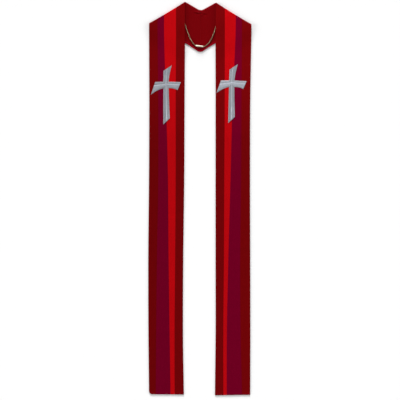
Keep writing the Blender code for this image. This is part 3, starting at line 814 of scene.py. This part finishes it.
def cloth_map(band, columns, points, rows):
    """Where each point was in the flat cloth, across and along it, in metres."""
    middle = len(columns.inset) // 2
    steps = np.linalg.norm(np.diff(points, axis=1), axis=2)
    u = np.concatenate([np.zeros((len(rows), 1)), np.cumsum(steps, axis=1)], axis=1)
    first_front = next(i for i, row in enumerate(rows) if row.zone == "front")
    centre = points[:, middle, 0].copy()
    centre[:first_front] = centre[first_front]
    u += (centre - u[:, middle])[:, None]
    steps = np.linalg.norm(np.diff(points, axis=0), axis=2)
    v = np.concatenate([np.zeros((1, len(columns.inset))), np.cumsum(steps, axis=0)])
    v -= v[first_front] + points[first_front, :, 1]
    return np.stack([u, v], axis=-1)


def cell_areas(flat):
    """The area of each cell of a grid in the flat cloth."""
    one = flat[1:, 1:] - flat[:-1, :-1]
    two = flat[1:, :-1] - flat[:-1, 1:]
    return (one[..., 0] * two[..., 1] - one[..., 1] * two[..., 0]) / 2


SHARP_FROM = math.radians(60)


def cloth_piece(name, band, columns, rows, outside, inside, finish, painted_light, rim=None):
    """A closed wall of cloth between two sides, with its map, its painted light and shade, and how
    much of the rim's painted lighter crimson it has: the piece, its size in the flat cloth and its
    area."""
    flat = cloth_map(band, columns, outside, rows)
    points = laid_out(band, np.concatenate([outside, inside]).reshape(-1, 3))
    faces = wall_faces(len(rows), len(columns.inset), band.sign < 0)
    made = mesh_piece(name, points, faces, finish)
    mesh = made.data
    mesh.set_sharp_from_angle(angle=SHARP_FROM)
    used = np.empty(len(mesh.loops), int)
    mesh.loops.foreach_get("vertex_index", used)
    both_sides = np.concatenate([flat.reshape(-1, 2)] * 2)
    mesh.uv_layers.new(name="cloth").data.foreach_set("uv", both_sides[used].ravel())
    give_values(mesh, "painted_light", np.concatenate([(painted_light + 0 * outside[..., 0]).ravel()] * 2))
    if rim is not None:
        give_values(mesh, "rim", np.concatenate([rim.ravel()] * 2))
    size = (float(np.ptp(flat[..., 0])), float(np.ptp(flat[..., 1])))
    return made, size, float(np.abs(cell_areas(flat)).sum())


# The cloth's weave, as a group that each cloth uses with its own colour and thread: a plain weave
# whose threads wander a little and vary in shade, with thicker slubs here and there.
# The noises in it: how many steps a metre they have across and along the cloth, and how far each is
# shifted.
Noise = namedtuple("Noise", "per_across per_along shift")
WARP_WANDERS, WEFT_WANDERS = Noise(26.0, 26.0, 1.0), Noise(26.0, 26.0, 2.0)
SLUBS_ALONG, SLUBS_ACROSS = Noise(620.0, 38.0, 4.0), Noise(34.0, 760.0, 5.0)
STREAKS, CLOUDS = Noise(700.0, 9.0, 3.0), Noise(9.0, 4.0, 6.0)
WANDER = 1.6
SLUB_FROM, SLUB_SOFTNESS = 0.6, 0.02  # how strong the noise is where a slub starts, and how softly
SLUB_HEIGHT = 2.5  # how high a slub is beside a thread
# How dark a cloth is between its threads, as painted shade, and how much the threads, painted lighter
# on their tops, the streaks along them and wide faint clouds vary its shade.
DARKEST = 0.84
THREAD_SHADE, STREAK_SHADE, CLOUD_SHADE = 0.22, 0.16, 0.06
ROUGHEST, THREADS_SMOOTHER = 0.94, 0.16
WEAVE_DEPTH = 0.12 * MM
# A cloth's faint gloss and sheen, both reddened by its dye.
CLOTH_LOOKS = {
    "Specular IOR Level": 0.015,
    "Specular Tint": (1.0, 0.2, 0.2, 1.0),
    "Sheen Weight": 0.015,
    "Sheen Roughness": 0.45,
    "Sheen Tint": (1.0, 0.25, 0.25, 1.0),
}
weave = bpy.data.node_groups.new("slub_weave", "ShaderNodeTree")
for in_out, labels in (
    ("INPUT", ("Colour", "Thread", "Slub", "Shift")),
    ("OUTPUT", ("Colour", "Roughness", "Height")),
):
    for label in labels:
        kind = "NodeSocketColor" if label == "Colour" else NUMBER
        weave.interface.new_socket(label, in_out=in_out, socket_type=kind)
into = weave.nodes.new("NodeGroupInput").outputs
flat_place = add_node(weave, "ShaderNodeUVMap", uv_map="cloth").outputs[0]
part = add_node(weave, "ShaderNodeSeparateXYZ", {"Vector": flat_place}).outputs


def cloth_noise(kind):
    """One of the noises, spread over the flat cloth."""
    inputs = {
        "X": calc(weave, "MULTIPLY", part[0], kind.per_across),
        "Y": calc(weave, "MULTIPLY", part[1], kind.per_along),
        "Z": calc(weave, "ADD", into["Shift"], kind.shift),
    }
    spot = add_node(weave, "ShaderNodeCombineXYZ", inputs).outputs[0]
    inputs = {"Vector": spot, "Scale": 1.0, "Detail": 2.0}
    return add_node(weave, "ShaderNodeTexNoise", inputs).outputs["Fac"]


def slubs_in(noise):
    """Where a noise is strong enough to make a thicker stretch of thread, and how much thicker."""
    above = calc(weave, "SUBTRACT", noise, SLUB_FROM)
    return calc(weave, "SMOOTH_MAX", above, 0.0, SLUB_SOFTNESS)


def varied(shade, noise, amount):
    """A shade made lighter and darker by a noise."""
    return calc(weave, "MULTIPLY_ADD", calc(weave, "SUBTRACT", noise, 0.5), amount, shade)


def shaded_by(tree, colour, shade):
    """A colour made darker or lighter by a shade."""
    inputs = {"Vector": colour, "Scale": shade}
    return add_node(tree, "ShaderNodeVectorMath", inputs, operation="SCALE").outputs[0]


def thread_wave(place, wandering):
    """The sine of a thread count along one direction, which wanders by about half a thread."""
    count = calc(weave, "DIVIDE", place, into["Thread"])
    wander = calc(weave, "MULTIPLY_ADD", cloth_noise(wandering), WANDER, count)
    return calc(weave, "SINE", calc(weave, "MULTIPLY", wander, math.pi))


warp, weft = thread_wave(part[0], WARP_WANDERS), thread_wave(part[1], WEFT_WANDERS)


def thread_top(own, other, over):
    """The height of one set of threads where it goes over and under the other."""
    round_top = calc(weave, "SQRT", calc(weave, "ABSOLUTE", own))
    rise = calc(weave, "MULTIPLY", other, calc(weave, "SIGN", own))
    return calc(weave, "MULTIPLY", round_top, calc(weave, "MULTIPLY_ADD", rise, over, 0.5))


threads = calc(weave, "MAXIMUM", thread_top(warp, weft, 0.5), thread_top(weft, warp, -0.5))
slubs_along = slubs_in(cloth_noise(SLUBS_ALONG))
slubs_across = slubs_in(cloth_noise(SLUBS_ACROSS))
slubs = calc(weave, "MULTIPLY", calc(weave, "ADD", slubs_along, slubs_across), into["Slub"])
# Painted shade between the threads and painted highlight on their tops.
shade = calc(weave, "MULTIPLY_ADD", threads, THREAD_SHADE, DARKEST)
shade = varied(shade, cloth_noise(STREAKS), STREAK_SHADE)
shade = varied(shade, cloth_noise(CLOUDS), CLOUD_SHADE)
# The painted light and shade that each piece carries makes its cloth lighter or darker.
painted_light = add_node(weave, "ShaderNodeAttribute", attribute_name="painted_light").outputs["Fac"]
shade = calc(weave, "MULTIPLY", calc(weave, "ADD", shade, slubs), painted_light)
outputs = {
    "Colour": shaded_by(weave, into["Colour"], shade),
    "Roughness": calc(weave, "MULTIPLY_ADD", threads, -THREADS_SMOOTHER, ROUGHEST),
    "Height": calc(weave, "MULTIPLY_ADD", slubs, SLUB_HEIGHT, threads),
}
add_node(weave, "NodeGroupOutput", outputs)


def cloth_material(name, colour, rim_colour, thread, slub, shift):
    """A woven cloth: its colour, its turned-in rim's painted lighter colour, its thread's width and
    how slubbed it is.
    """
    made, shader = plain_material(name, colour, roughness=0.9)
    tree = made.node_tree
    rim = add_node(tree, "ShaderNodeAttribute", attribute_name="rim").outputs["Fac"]
    own = mixed(tree, rim, colour, rim_colour)
    inputs = {"Colour": own, "Thread": thread, "Slub": slub, "Shift": shift}
    cloth = add_node(tree, "ShaderNodeGroup", inputs, node_tree=weave)
    tree.links.new(cloth.outputs["Colour"], shader.inputs["Base Color"])
    tree.links.new(cloth.outputs["Roughness"], shader.inputs["Roughness"])
    bump(tree, shader, cloth.outputs["Height"], WEAVE_DEPTH)
    for label, value in CLOTH_LOOKS.items():
        shader.inputs[label].default_value = value
    return made


CLOTH_SHARE = 0.8  # how bright a cloth is made for the light that falls on it


def dyed(red, green, blue):
    """A cloth's colour from what it looks like in this light."""
    return (*(value * CLOTH_SHARE for value in linear(red, green, blue)[:3]), 1.0)


# The lighter crimson of the turned-in rims is painted light.
PAINTED_RIM_CRIMSON = dyed(136, 3, 20)
FACE_THREAD, FACE_SLUB = 0.55 * MM, 0.5
cloths = {
    name: cloth_material(name, colour, rim_colour, FACE_THREAD, FACE_SLUB, shift)
    for name, colour, rim_colour, shift in (
        ("dark_red_cloth", dyed(108, 4, 7), PAINTED_RIM_CRIMSON, 0.0),
        ("plum_cloth", dyed(106, 0, 31), dyed(112, 1, 30), 20.0),
        ("bright_red_cloth", dyed(178, 7, 14), dyed(182, 6, 16), 40.0),
    )
}

# The turned-in rim is painted a lighter crimson, as painted light on the edges, most at the V of the
# back neck.
RIM_SHOWS = {"seam": 1.0, "back": 1.0, "roll": 0.4, "front": 0.0, "hem": 0.35}
RIM_FADES_FROM, RIM_FADE = 5.4 * MM, 1.2 * MM
strip_rows = band_rows(back_steps=24, front_step=3.4 * MM, hem_insets=TURNED_INSETS)
# A strip's cloth, the spots at its two sides and how many go between them, where its seam's puckers
# start and how much of the rim's painted light it has.
Strip = namedtuple("Strip", "slot first last between phase rim")
from_inner, to_outer = (
    edge_spots(line, inwards, TURNED_INSETS) for line, inwards in (("inner", 1), ("outer", -1))
)
to_bright, to_plum, to_dark = (
    (seam_spots(line, -1), seam_spots(line, 1)) for line in ("bright_in", "bright_out", "plum_out")
)
STRIPS = {
    "inner_strip": Strip("dark_red_cloth", from_inner, to_bright[0], 7, 0.4, 0.35),
    "bright_strip": Strip("bright_red_cloth", to_bright[1], to_plum[0], 8, 0.4, 0.0),
    "plum_strip": Strip("plum_cloth", to_plum[1], to_dark[0], 11, 2.1, 0.0),
    "outer_strip": Strip("dark_red_cloth", to_dark[1], to_outer, 7, 2.1, 1.0),
}
# Painted light and shade on the strips: how light each strip is painted beside the others of its
# cloth, with the right band painted lighter where more light falls, how much lighter it is painted
# from half-way down the front up to the shoulder, where more light falls, and how much painted shade
# darkens it close to the fold.
SIDE_PAINTED_LIGHT = {
    "left": {"inner_strip": 0.96, "bright_strip": 0.96, "plum_strip": 0.96, "outer_strip": 0.89},
    "right": {"inner_strip": 1.0, "bright_strip": 0.975, "plum_strip": 1.03, "outer_strip": 1.03},
}
SHOULDER_PAINTED_LIGHT = {
    "left": {"inner_strip": 0.28, "bright_strip": 0.2, "plum_strip": 0.2, "outer_strip": 0.28},
    "right": {"inner_strip": 0.28, "bright_strip": 0.26, "plum_strip": 0.27, "outer_strip": 0.28},
}
LIGHTER_TO, LIGHTER_FROM = 180 * MM, 570 * MM
FOLD_PAINTED_SHADE = {"inner_strip": 0.12, "bright_strip": 0.28, "plum_strip": 0.14, "outer_strip": 0.08}
FOLD_DARK_WIDTH = 6 * MM


def in_zones(rows, *zones):
    """Which rows are in these zones, as a column beside a grid of points."""
    return np.array([row.zone in zones for row in rows])[:, None]


on_front = in_zones(strip_rows, "front", "hem")
at_back = in_zones(strip_rows, "seam", "back")
rim_shows = np.array([RIM_SHOWS[row.zone] for row in strip_rows])[:, None]
for side, band in bands.items():
    for name, strip in STRIPS.items():
        columns = columns_at(band, spread_spots(strip.first, strip.last, strip.between))
        outside = side_points(band, columns, strip_rows, face_outside)
        inside = side_points(band, columns, strip_rows, face_inside)
        from_fold = (band.axis - outside[..., :2]) @ band.past
        relief = creased(band, outside, FRONT_CREASES) + puckered(columns, outside, strip.phase)
        outside[..., 2] += relief * eased(from_fold / FOLD_EASE) * on_front
        insets = np.stack([insets_on(columns, row) for row in strip_rows])
        inside[..., 2] += creased(band, inside, BACK_CREASES) * at_back * (insets <= TURN)
        # Painted light on the turned-in rim, fading inwards from the edge.
        rim = (1 - eased((insets - RIM_FADES_FROM) / RIM_FADE)) * rim_shows * strip.rim
        # Painted light towards the shoulder and on the right band, and painted shade close to the
        # fold.
        down_the_band = eased((-outside[..., 1] - LIGHTER_TO) / (LIGHTER_FROM - LIGHTER_TO))
        painted_light = 1 + SHOULDER_PAINTED_LIGHT[side][name] * (1 - down_the_band)
        painted_fold_shade = np.exp(-(((from_fold + ROLL_OUT) / FOLD_DARK_WIDTH) ** 2))
        painted_light *= 1 - FOLD_PAINTED_SHADE[name] * painted_fold_shade
        painted_light *= SIDE_PAINTED_LIGHT[side][name]
        label, finish = f"{side}_{name}_cloth", cloths[strip.slot]
        piece, size, area = cloth_piece(
            label, band, columns, strip_rows, outside, inside, finish, painted_light, rim
        )
        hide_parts(f"{side}_{name}")
        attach(piece, "root")

# --- The linings --------------------------------------------------------------------------------
# Each band is lined with a plainer, smoother dark red cloth. Its edge is turned under and
# slip-stitched to the face cloth a little inside the band's edge, and it shows at the back neck.
LINING_INSET = TURN + TURN_STEP + GAP
LINING_R = 0.5 * MM
LINING_INSETS = [0.0, 0.06 * MM, 0.18 * MM, 0.34 * MM, LINING_R, 1.2 * MM, 2.4 * MM]
LINING_ROUND = 0.4 * MM
LINING_SINKS, SINKS_WITHIN = 0.12 * MM, 1.0 * MM
CENTRE_DITCH = 0.1 * MM
CENTRE_DITCH_WIDTH = 0.6 * MM
LINING_THREAD, LINING_SLUB = 0.3 * MM, 0.12


def lining_outside(columns, row):
    """How high in the cloth the lining's own right side is, which is rounded at its edge."""
    inset = insets_on(columns, row, LINING_INSET)
    return LINING_ROUND * (1 - np.clip(inset / LINING_R, 0.0, 1.0)) ** 2


lining_cloth = cloth_material(
    "lining_cloth", dyed(116, 4, 10), PAINTED_RIM_CRIMSON, LINING_THREAD, LINING_SLUB, shift=60.0
)
lining_edges = [
    edge_spots(line, inwards, LINING_INSETS, LINING_INSET)
    for line, inwards in (("inner", 1), ("outer", -1))
]
hem_insets = [LINING_INSET + inset for inset in LINING_INSETS]
lining_rows = band_rows(back_steps=46, front_step=5.0 * MM, hem_insets=hem_insets)
at_back = in_zones(lining_rows, "seam", "back")
for side, band in bands.items():
    columns = columns_at(band, spread_spots(*lining_edges, count=44, gathered=2.0))
    outside = side_points(band, columns, lining_rows, lining_outside)
    inside = side_points(band, columns, lining_rows, lambda columns, row: WALL)
    ditch = CENTRE_DITCH * np.exp(-outside[..., 0] / CENTRE_DITCH_WIDTH)
    sunk = LINING_SINKS * eased(columns.inset / SINKS_WITHIN)
    outside[..., 2] += (creased(band, outside, BACK_CREASES) - ditch - sunk) * at_back
    # The lining's outside is the side that faces down on the front, so the wall is turned over.
    piece, size, area = cloth_piece(
        f"{side}_lining_cloth", band, columns, lining_rows, inside, outside, lining_cloth, painted_light=1.0
    )
    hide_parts(f"{side}_lining")
    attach(piece, "root")

# --- The slip stitches --------------------------------------------------------------------------
# The lining's edge is caught down to the turned-in face by hand: short stitches of crimson thread,
# a little apart and not quite in line, from the centre-back seam to the hem and across it.
STITCH_THREAD, PALER_THREAD = linear(120, 4, 18), linear(146, 12, 30)
STITCH_INSET = 6.45 * MM
STITCH_RISE = 0.14 * MM  # how high in the cloth the stitches lie, in the ditch at the lining's edge
LEAST_SWAY, MOST_SWAY = 0.4, 1.6  # as shares of the stitches' usual slant

looks = {"scale": 900.0, "detail": 2.0, "smoothest": 0.5, "spread": 0.3, "depth": 0.02 * MM}
stitch_cotton, tree, shader, ply = uneven_material("stitch_cotton", STITCH_THREAD, **looks)
tree.links.new(mixed(tree, ply, STITCH_THREAD, PALER_THREAD), shader.inputs["Base Color"])

sizes = dict.fromkeys(("Spacing", "Stitch Length", "Thread", "Slant"), NUMBER)
stitches, into = shape_tree("slip_stitches", {**sizes, "Seed": "NodeSocketInt"})
reach = calc(stitches, "MULTIPLY", into["Stitch Length"], 0.5)
start = add_node(stitches, "ShaderNodeCombineXYZ", {"X": calc(stitches, "MULTIPLY", reach, -1.0)})
stop = add_node(stitches, "ShaderNodeCombineXYZ", {"X": reach})
inputs = {"Start": start.outputs[0], "End": stop.outputs[0]}
straight = add_node(stitches, "GeometryNodeCurvePrimitiveLine", inputs)
stitch = swept(stitches, straight.outputs[0], into["Thread"], around=6, capped=True)
inputs = {"Seed": into["Seed"], 2: LEAST_SWAY, 3: MOST_SWAY}
sway = add_node(stitches, "FunctionNodeRandomValue", inputs, data_type="FLOAT")
slant = calc(stitches, "MULTIPLY", sway.outputs[1], into["Slant"])
sewn = set_along(stitches, into["Geometry"], into["Spacing"], stitch, (0.0, 0.0, 1.0), slant)
end_tree(stitches, sewn, into["Finish"])

stitched_lines = [
    Spot("inner", "inner", 0.0, STITCH_INSET, INSIDE, INSIDE),
    Spot("outer", "outer", 0.0, -STITCH_INSET, INSIDE, INSIDE),
]
stitched_rows = band_rows(back_steps=24, front_step=6.0 * MM, hem_insets=[STITCH_INSET])
for seed, (side, band) in enumerate(bands.items(), start=3):
    columns = columns_at(band, stitched_lines)
    down = side_points(band, columns, stitched_rows, lambda columns, row: STITCH_RISE)
    hem_spots = spread_spots(stitched_lines[:1], stitched_lines[1:], count=20)
    along_hem = columns_at(band, hem_spots)
    hem_line = band_points(band, along_hem, stitched_rows[-1], STITCH_RISE)
    path = laid_out(band, np.concatenate([down[:, 0], hem_line[1:-1], down[::-1, 1]]))
    sizes = {
        "Spacing": 5.2 * MM,
        "Stitch Length": 1.7 * MM,
        "Thread": 0.13 * MM,
        "Slant": math.radians(14),
        "Seed": seed,
        "Finish": stitch_cotton,
    }
    sewing = made_by(stitches, f"{side}_slip_stitches", path, in_a_row(len(path)), sizes)
    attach(sewing, "root")

# --- The crosses --------------------------------------------------------------------------------
# A Latin cross of silver-grey thread on each front, worked in satin stitch over a low padding. The
# threads go up from both edges of an arm to its middle, where a raised line of short stitches
# covers their ends.
STEM_HALF, BAR_HALF = 9.3, 11.4
# An arm's way, half its width and how far out it starts at the crossing, and for its edges a and b
# how far they reach, how much they flare and how much they bow, in millimetres.
Arm = namedtuple("Arm", "turn root_half root_out reach_a reach_b flare_a flare_b bow_a bow_b")
CROSS_ARMS = [
    Arm(90, STEM_HALF, BAR_HALF, 49.2, 69, -0.7, 11.2, 0, 1.7),
    Arm(180, BAR_HALF, STEM_HALF, 53.1, 37.8, 22.5, -0.8, 3.0, 0),
    Arm(270, STEM_HALF, BAR_HALF, 116.3, 138, 3.3, 0.8, 0, 0),
    Arm(0, BAR_HALF, STEM_HALF, 51.9, 40.4, -1.7, 6.3, 0, 2),
]
Placing = namedtuple("Placing", "across down turn")
CROSS_PLACES = {
    "left": Placing(-120.2 * MM, 291.4 * MM, math.radians(0.2)),
    "right": Placing(109.8 * MM, 286.9 * MM, math.radians(-1.0)),
}
THREAD_R = 0.2 * MM
THREAD_EVERY = 0.42 * MM
# How far a thread strays, as a share of its room, how high it lies on the pad and how that varies,
# as shares of its radius, and how its tone varies.
THREAD_STRAYS = 0.25
THREAD_LIES, THREAD_UNEVEN = 0.35, 0.2
TONE_VARIES = 0.1
PAD_EDGE = 0.1 * MM
PAD_RISE = 1.0 * MM
PAD_UNDER = -0.05 * MM
PAD_STEPS, PAD_STEPS_UP = 24, 6
# Painted shade: the padding is darker where it shows between the threads.
PAD_PAINTED_SHADE = 0.7
PAD_TURN, PAD_FULLNESS = 0.8 * math.pi, 0.8
UP_THE_PAD = [0.0, 0.05, 0.2, 0.45, 0.75, 1.0]
# The raised lines meet this far above the middle of the cross, in millimetres. Each ends this share
# of the way along its arm's tip, from the corner of edge a to that of edge b, and is this wide to
# each side, at the crossing and at the tip.
RIDGES_MEET = 3.2
Ridge = namedtuple("Ridge", "end_at half half_at_tip")
RIDGES = {
    90: Ridge(0.42, 1.1, 1.1),
    180: Ridge(0.685, 2.2, 2.2),
    270: Ridge(0.5, 1.1, 2.4),
    0: Ridge(0.354, 2.2, 2.2),
}
# The raised lines' own stitches: how far apart and how high they are, how much they slant and
# stray, how much their tones vary, how much lower on the padding a wide one lies, and how far the
# last one and the stitches' ends stay from the arm's end. Lengths without MM are in millimetres. A
# line that widens does so to the right on the left cross, and to both sides on the right one.
BEAD_EVERY = 0.37 * MM
BEAD_RISE = 0.75 * MM
BEAD_STEPS = 5
BEAD_SLANT = 0.25
BEAD_STRAYS = 0.06
BEAD_TONE_VARIES = 0.07
BEAD_DOWN_THE_PAD = 0.02
LAST_BEAD = 0.6
TIP_MARGIN = 0.3
LEAN = {"left": 1.0, "right": 0.0}
# How light the threads from each edge of each arm and on its raised line are painted: painted sheen
# and shade by which way each set runs to the light, and a painted highlight on the raised line.
PaintedThreadLight = namedtuple("PaintedThreadLight", "from_a from_b ridge")
PAINTED_THREAD_LIGHT = {
    "left": {
        90: PaintedThreadLight(0.84, 0.71, 1.38),
        180: PaintedThreadLight(0.94, 0.68, 1.42),
        270: PaintedThreadLight(0.80, 0.79, 1.52),
        0: PaintedThreadLight(0.78, 0.92, 1.42),
    },
    "right": {
        90: PaintedThreadLight(0.91, 0.79, 1.42),
        180: PaintedThreadLight(1.14, 0.96, 1.66),
        270: PaintedThreadLight(0.84, 0.83, 1.48),
        0: PaintedThreadLight(0.95, 1.12, 1.5),
    },
}

SILVER = linear(149, 153, 161)
TWIST_DARKEST, TWIST_SHADE = 0.85, 0.3
looks = {"scale": 1400.0, "detail": 2.0, "smoothest": 0.3, "spread": 0.2, "depth": 0.03 * MM}
silver_thread, tree, shader, twist = uneven_material("silver_thread", SILVER, **looks)
# The threads' painted light and shade, read from each point and varied by the twist.
shade = add_node(tree, "ShaderNodeAttribute", attribute_name="shade").outputs["Fac"]
twisted = calc(tree, "MULTIPLY_ADD", twist, TWIST_SHADE, TWIST_DARKEST)
shade = calc(tree, "MULTIPLY", shade, twisted)
tree.links.new(shaded_by(tree, SILVER[:3], shade), shader.inputs["Base Color"])

thread_tree, into = shape_tree("laid_threads", {"Thread": NUMBER})
line = add_node(thread_tree, "GeometryNodeMeshToCurve", {"Mesh": into["Geometry"]})
laid = swept(thread_tree, line.outputs[0], into["Thread"], around=5, capped=True)
end_tree(thread_tree, laid, into["Finish"])


def arm_lines(arm, t):
    """An arm's edge b, its ridge and its edge a at these shares of the way out, in millimetres."""
    cos, sin = round(math.cos(math.radians(arm.turn))), round(math.sin(math.radians(arm.turn)))
    tip_a = np.array([arm.reach_a, arm.root_half + arm.flare_a])
    tip_b = np.array([arm.reach_b, -arm.root_half - arm.flare_b])
    ridge_tip = tip_a + RIDGES[arm.turn].end_at * (tip_b - tip_a)
    lines = []
    for root, tip, bow in (
        ((arm.root_out, -arm.root_half), tip_b, arm.bow_b),
        ((RIDGES_MEET * sin, RIDGES_MEET * cos), ridge_tip, 0.0),
        ((arm.root_out, arm.root_half), tip_a, -arm.bow_a),
    ):
        out = root[0] + t * (tip[0] - root[0])
        aside = root[1] + t * (tip[1] - root[1]) + bow * 4 * t * (1 - t)
        lines.append(np.stack([out * cos - aside * sin, out * sin + aside * cos], axis=-1))
    return lines


def padded_to(s):
    """How high the padding is, at this share of the way from an arm's edge to its ridge."""
    return PAD_EDGE + PAD_RISE * np.sin(PAD_TURN * s**PAD_FULLNESS)


def sewn_on(side, spots, rise):
    """Points of a cross, in millimetres from its middle, this high on the band's face."""
    placing, band = CROSS_PLACES[side], bands[side]
    cos, sin = math.cos(placing.turn), math.sin(placing.turn)
    x = placing.across + (spots[..., 0] * cos - spots[..., 1] * sin) * MM
    y = -placing.down + (spots[..., 0] * sin + spots[..., 1] * cos) * MM
    z = THICK - ALLOWANCE + held_up(band, abs(x), y) + rise
    return np.stack([x + SEAM_X, y + NECK_Y, z], axis=-1)


def cross_padding(side):
    """The padding: a closed low mound on each half of each arm, as points and faces."""
    t = np.linspace(0.0, 1.0, PAD_STEPS + 1)
    s = np.linspace(0.0, 1.0, PAD_STEPS_UP + 1)
    points, faces, count = [], [], 0
    for arm in CROSS_ARMS:
        edge_b, ridge, edge_a = arm_lines(arm, t)
        for edge, flipped in ((edge_b, False), (edge_a, True)):
            spots = edge[:, None] + s[:, None] * (ridge - edge)[:, None]
            tops = sewn_on(side, spots, padded_to(s))
            under = sewn_on(side, spots, PAD_UNDER)
            points.append(np.concatenate([tops.reshape(-1, 3), under.reshape(-1, 3)]))
            faces.append(wall_faces(len(t), len(s), not flipped) + count)
            count += len(points[-1])
    return np.concatenate(points), np.concatenate(faces)


def joined_lines(lines, shades):
    """Many lines with as many points each, as points, edges and a shade for each point."""
    points = np.concatenate(lines)
    count, each = points.shape[:2]
    first = (np.arange(count) * each)[:, None] + np.arange(each - 1)
    edges = np.stack([first, first + 1], axis=-1).reshape(-1, 2)
    return points.reshape(-1, 3), edges, np.concatenate(shades).ravel()


def satin_threads(side, chance):
    """The satin stitches, from each arm's edges up to its ridge, as points, edges and shades."""
    lines, shades = [], []
    s = np.array(UP_THE_PAD)
    for arm in CROSS_ARMS:
        count = round(max(arm.reach_a, arm.reach_b) * MM / THREAD_EVERY)
        places = np.arange(count) + 0.5 + THREAD_STRAYS * chance.uniform(-1, 1, count)
        edge_b, ridge, edge_a = arm_lines(arm, np.clip(places / count, 0.0, 1.0))
        tones = PAINTED_THREAD_LIGHT[side][arm.turn]
        # Each set of threads takes its painted sheen and shade.
        for edge, painted_light in ((edge_a, tones.from_a), (edge_b, tones.from_b)):
            spots = edge[:, None] + s[:, None] * (ridge - edge)[:, None]
            uneven = THREAD_UNEVEN * THREAD_R * chance.uniform(-1, 1, (count, 1))
            rise = padded_to(s) + THREAD_LIES * THREAD_R + uneven
            rise[:, 0] = -THREAD_R
            lines.append(sewn_on(side, spots, rise))
            own = painted_light * (1 + TONE_VARIES * chance.uniform(-1, 1, (count, 1)))
            shades.append(own + 0 * s)
    return joined_lines(lines, shades)


def bead_threads(side, chance):
    """The raised lines along the arms: short stitches across the ridges, wider at the foot."""
    turns = np.radians(np.linspace(-90, 90, BEAD_STEPS + 1))
    lines, shades = [], []
    for arm in CROSS_ARMS:
        ridge = RIDGES[arm.turn]
        edge_b, (root, tip), edge_a = arm_lines(arm, np.array([0.0, 1.0]))
        length = np.linalg.norm(tip - root)
        way = (tip - root) / length
        beside = np.array([-way[1], way[0]])
        end = edge_b[1] - edge_a[1]
        end_x, end_y = end / np.linalg.norm(end)
        inwards = np.array([end_y, -end_x])
        start = 0.0 if arm.turn in (0, 180) else ridge.half
        count = round((length - start) * MM / BEAD_EVERY)
        out = np.linspace(start, length - LAST_BEAD, count)
        out += BEAD_STRAYS * chance.uniform(-1, 1, count)
        widen = (ridge.half_at_tip - ridge.half) * eased(out / length) ** 2
        half = (ridge.half + widen)[:, None]
        across_it = half * np.sin(turns)
        along_it = BEAD_SLANT * across_it + out[:, None]
        spots = root + along_it[..., None] * way
        spots += (across_it + LEAN[side] * widen[:, None])[..., None] * beside
        spots += np.maximum(TIP_MARGIN - (spots - tip) @ inwards, 0.0)[..., None] * inwards
        rise = padded_to(1.0 - half * BEAD_DOWN_THE_PAD) + BEAD_RISE * np.cos(turns) - THREAD_R
        lines.append(sewn_on(side, spots, rise))
        own = 1 + BEAD_TONE_VARIES * chance.uniform(-1, 1, (count, 1))
        # The raised line's painted highlight.
        shades.append(PAINTED_THREAD_LIGHT[side][arm.turn].ridge * own + 0 * across_it)
    return joined_lines(lines, shades)


sizes = {"Thread": THREAD_R, "Finish": silver_thread}
for seed, side in enumerate(bands, start=11):
    chance = np.random.default_rng(seed)
    padding = mesh_piece(f"{side}_cross_padding", *cross_padding(side), silver_thread)
    # The padding's painted shade.
    give_values(padding.data, "shade", np.full(len(padding.data.vertices), PAD_PAINTED_SHADE))
    pieces = [padding]
    for name, laid_by in (("threads", satin_threads), ("ridge", bead_threads)):
        points, edges, shades = laid_by(side, chance)
        pieces.append(made_by(thread_tree, f"{side}_cross_{name}", points, edges, sizes, shades))
    for piece in pieces:
        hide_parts(f"{side}_cross")
        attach(piece, "root")

boxes = {"cad": cad_box, "dressed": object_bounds()}
boxes = {name: [list(map(float, corner)) for corner in box] for name, box in boxes.items()}
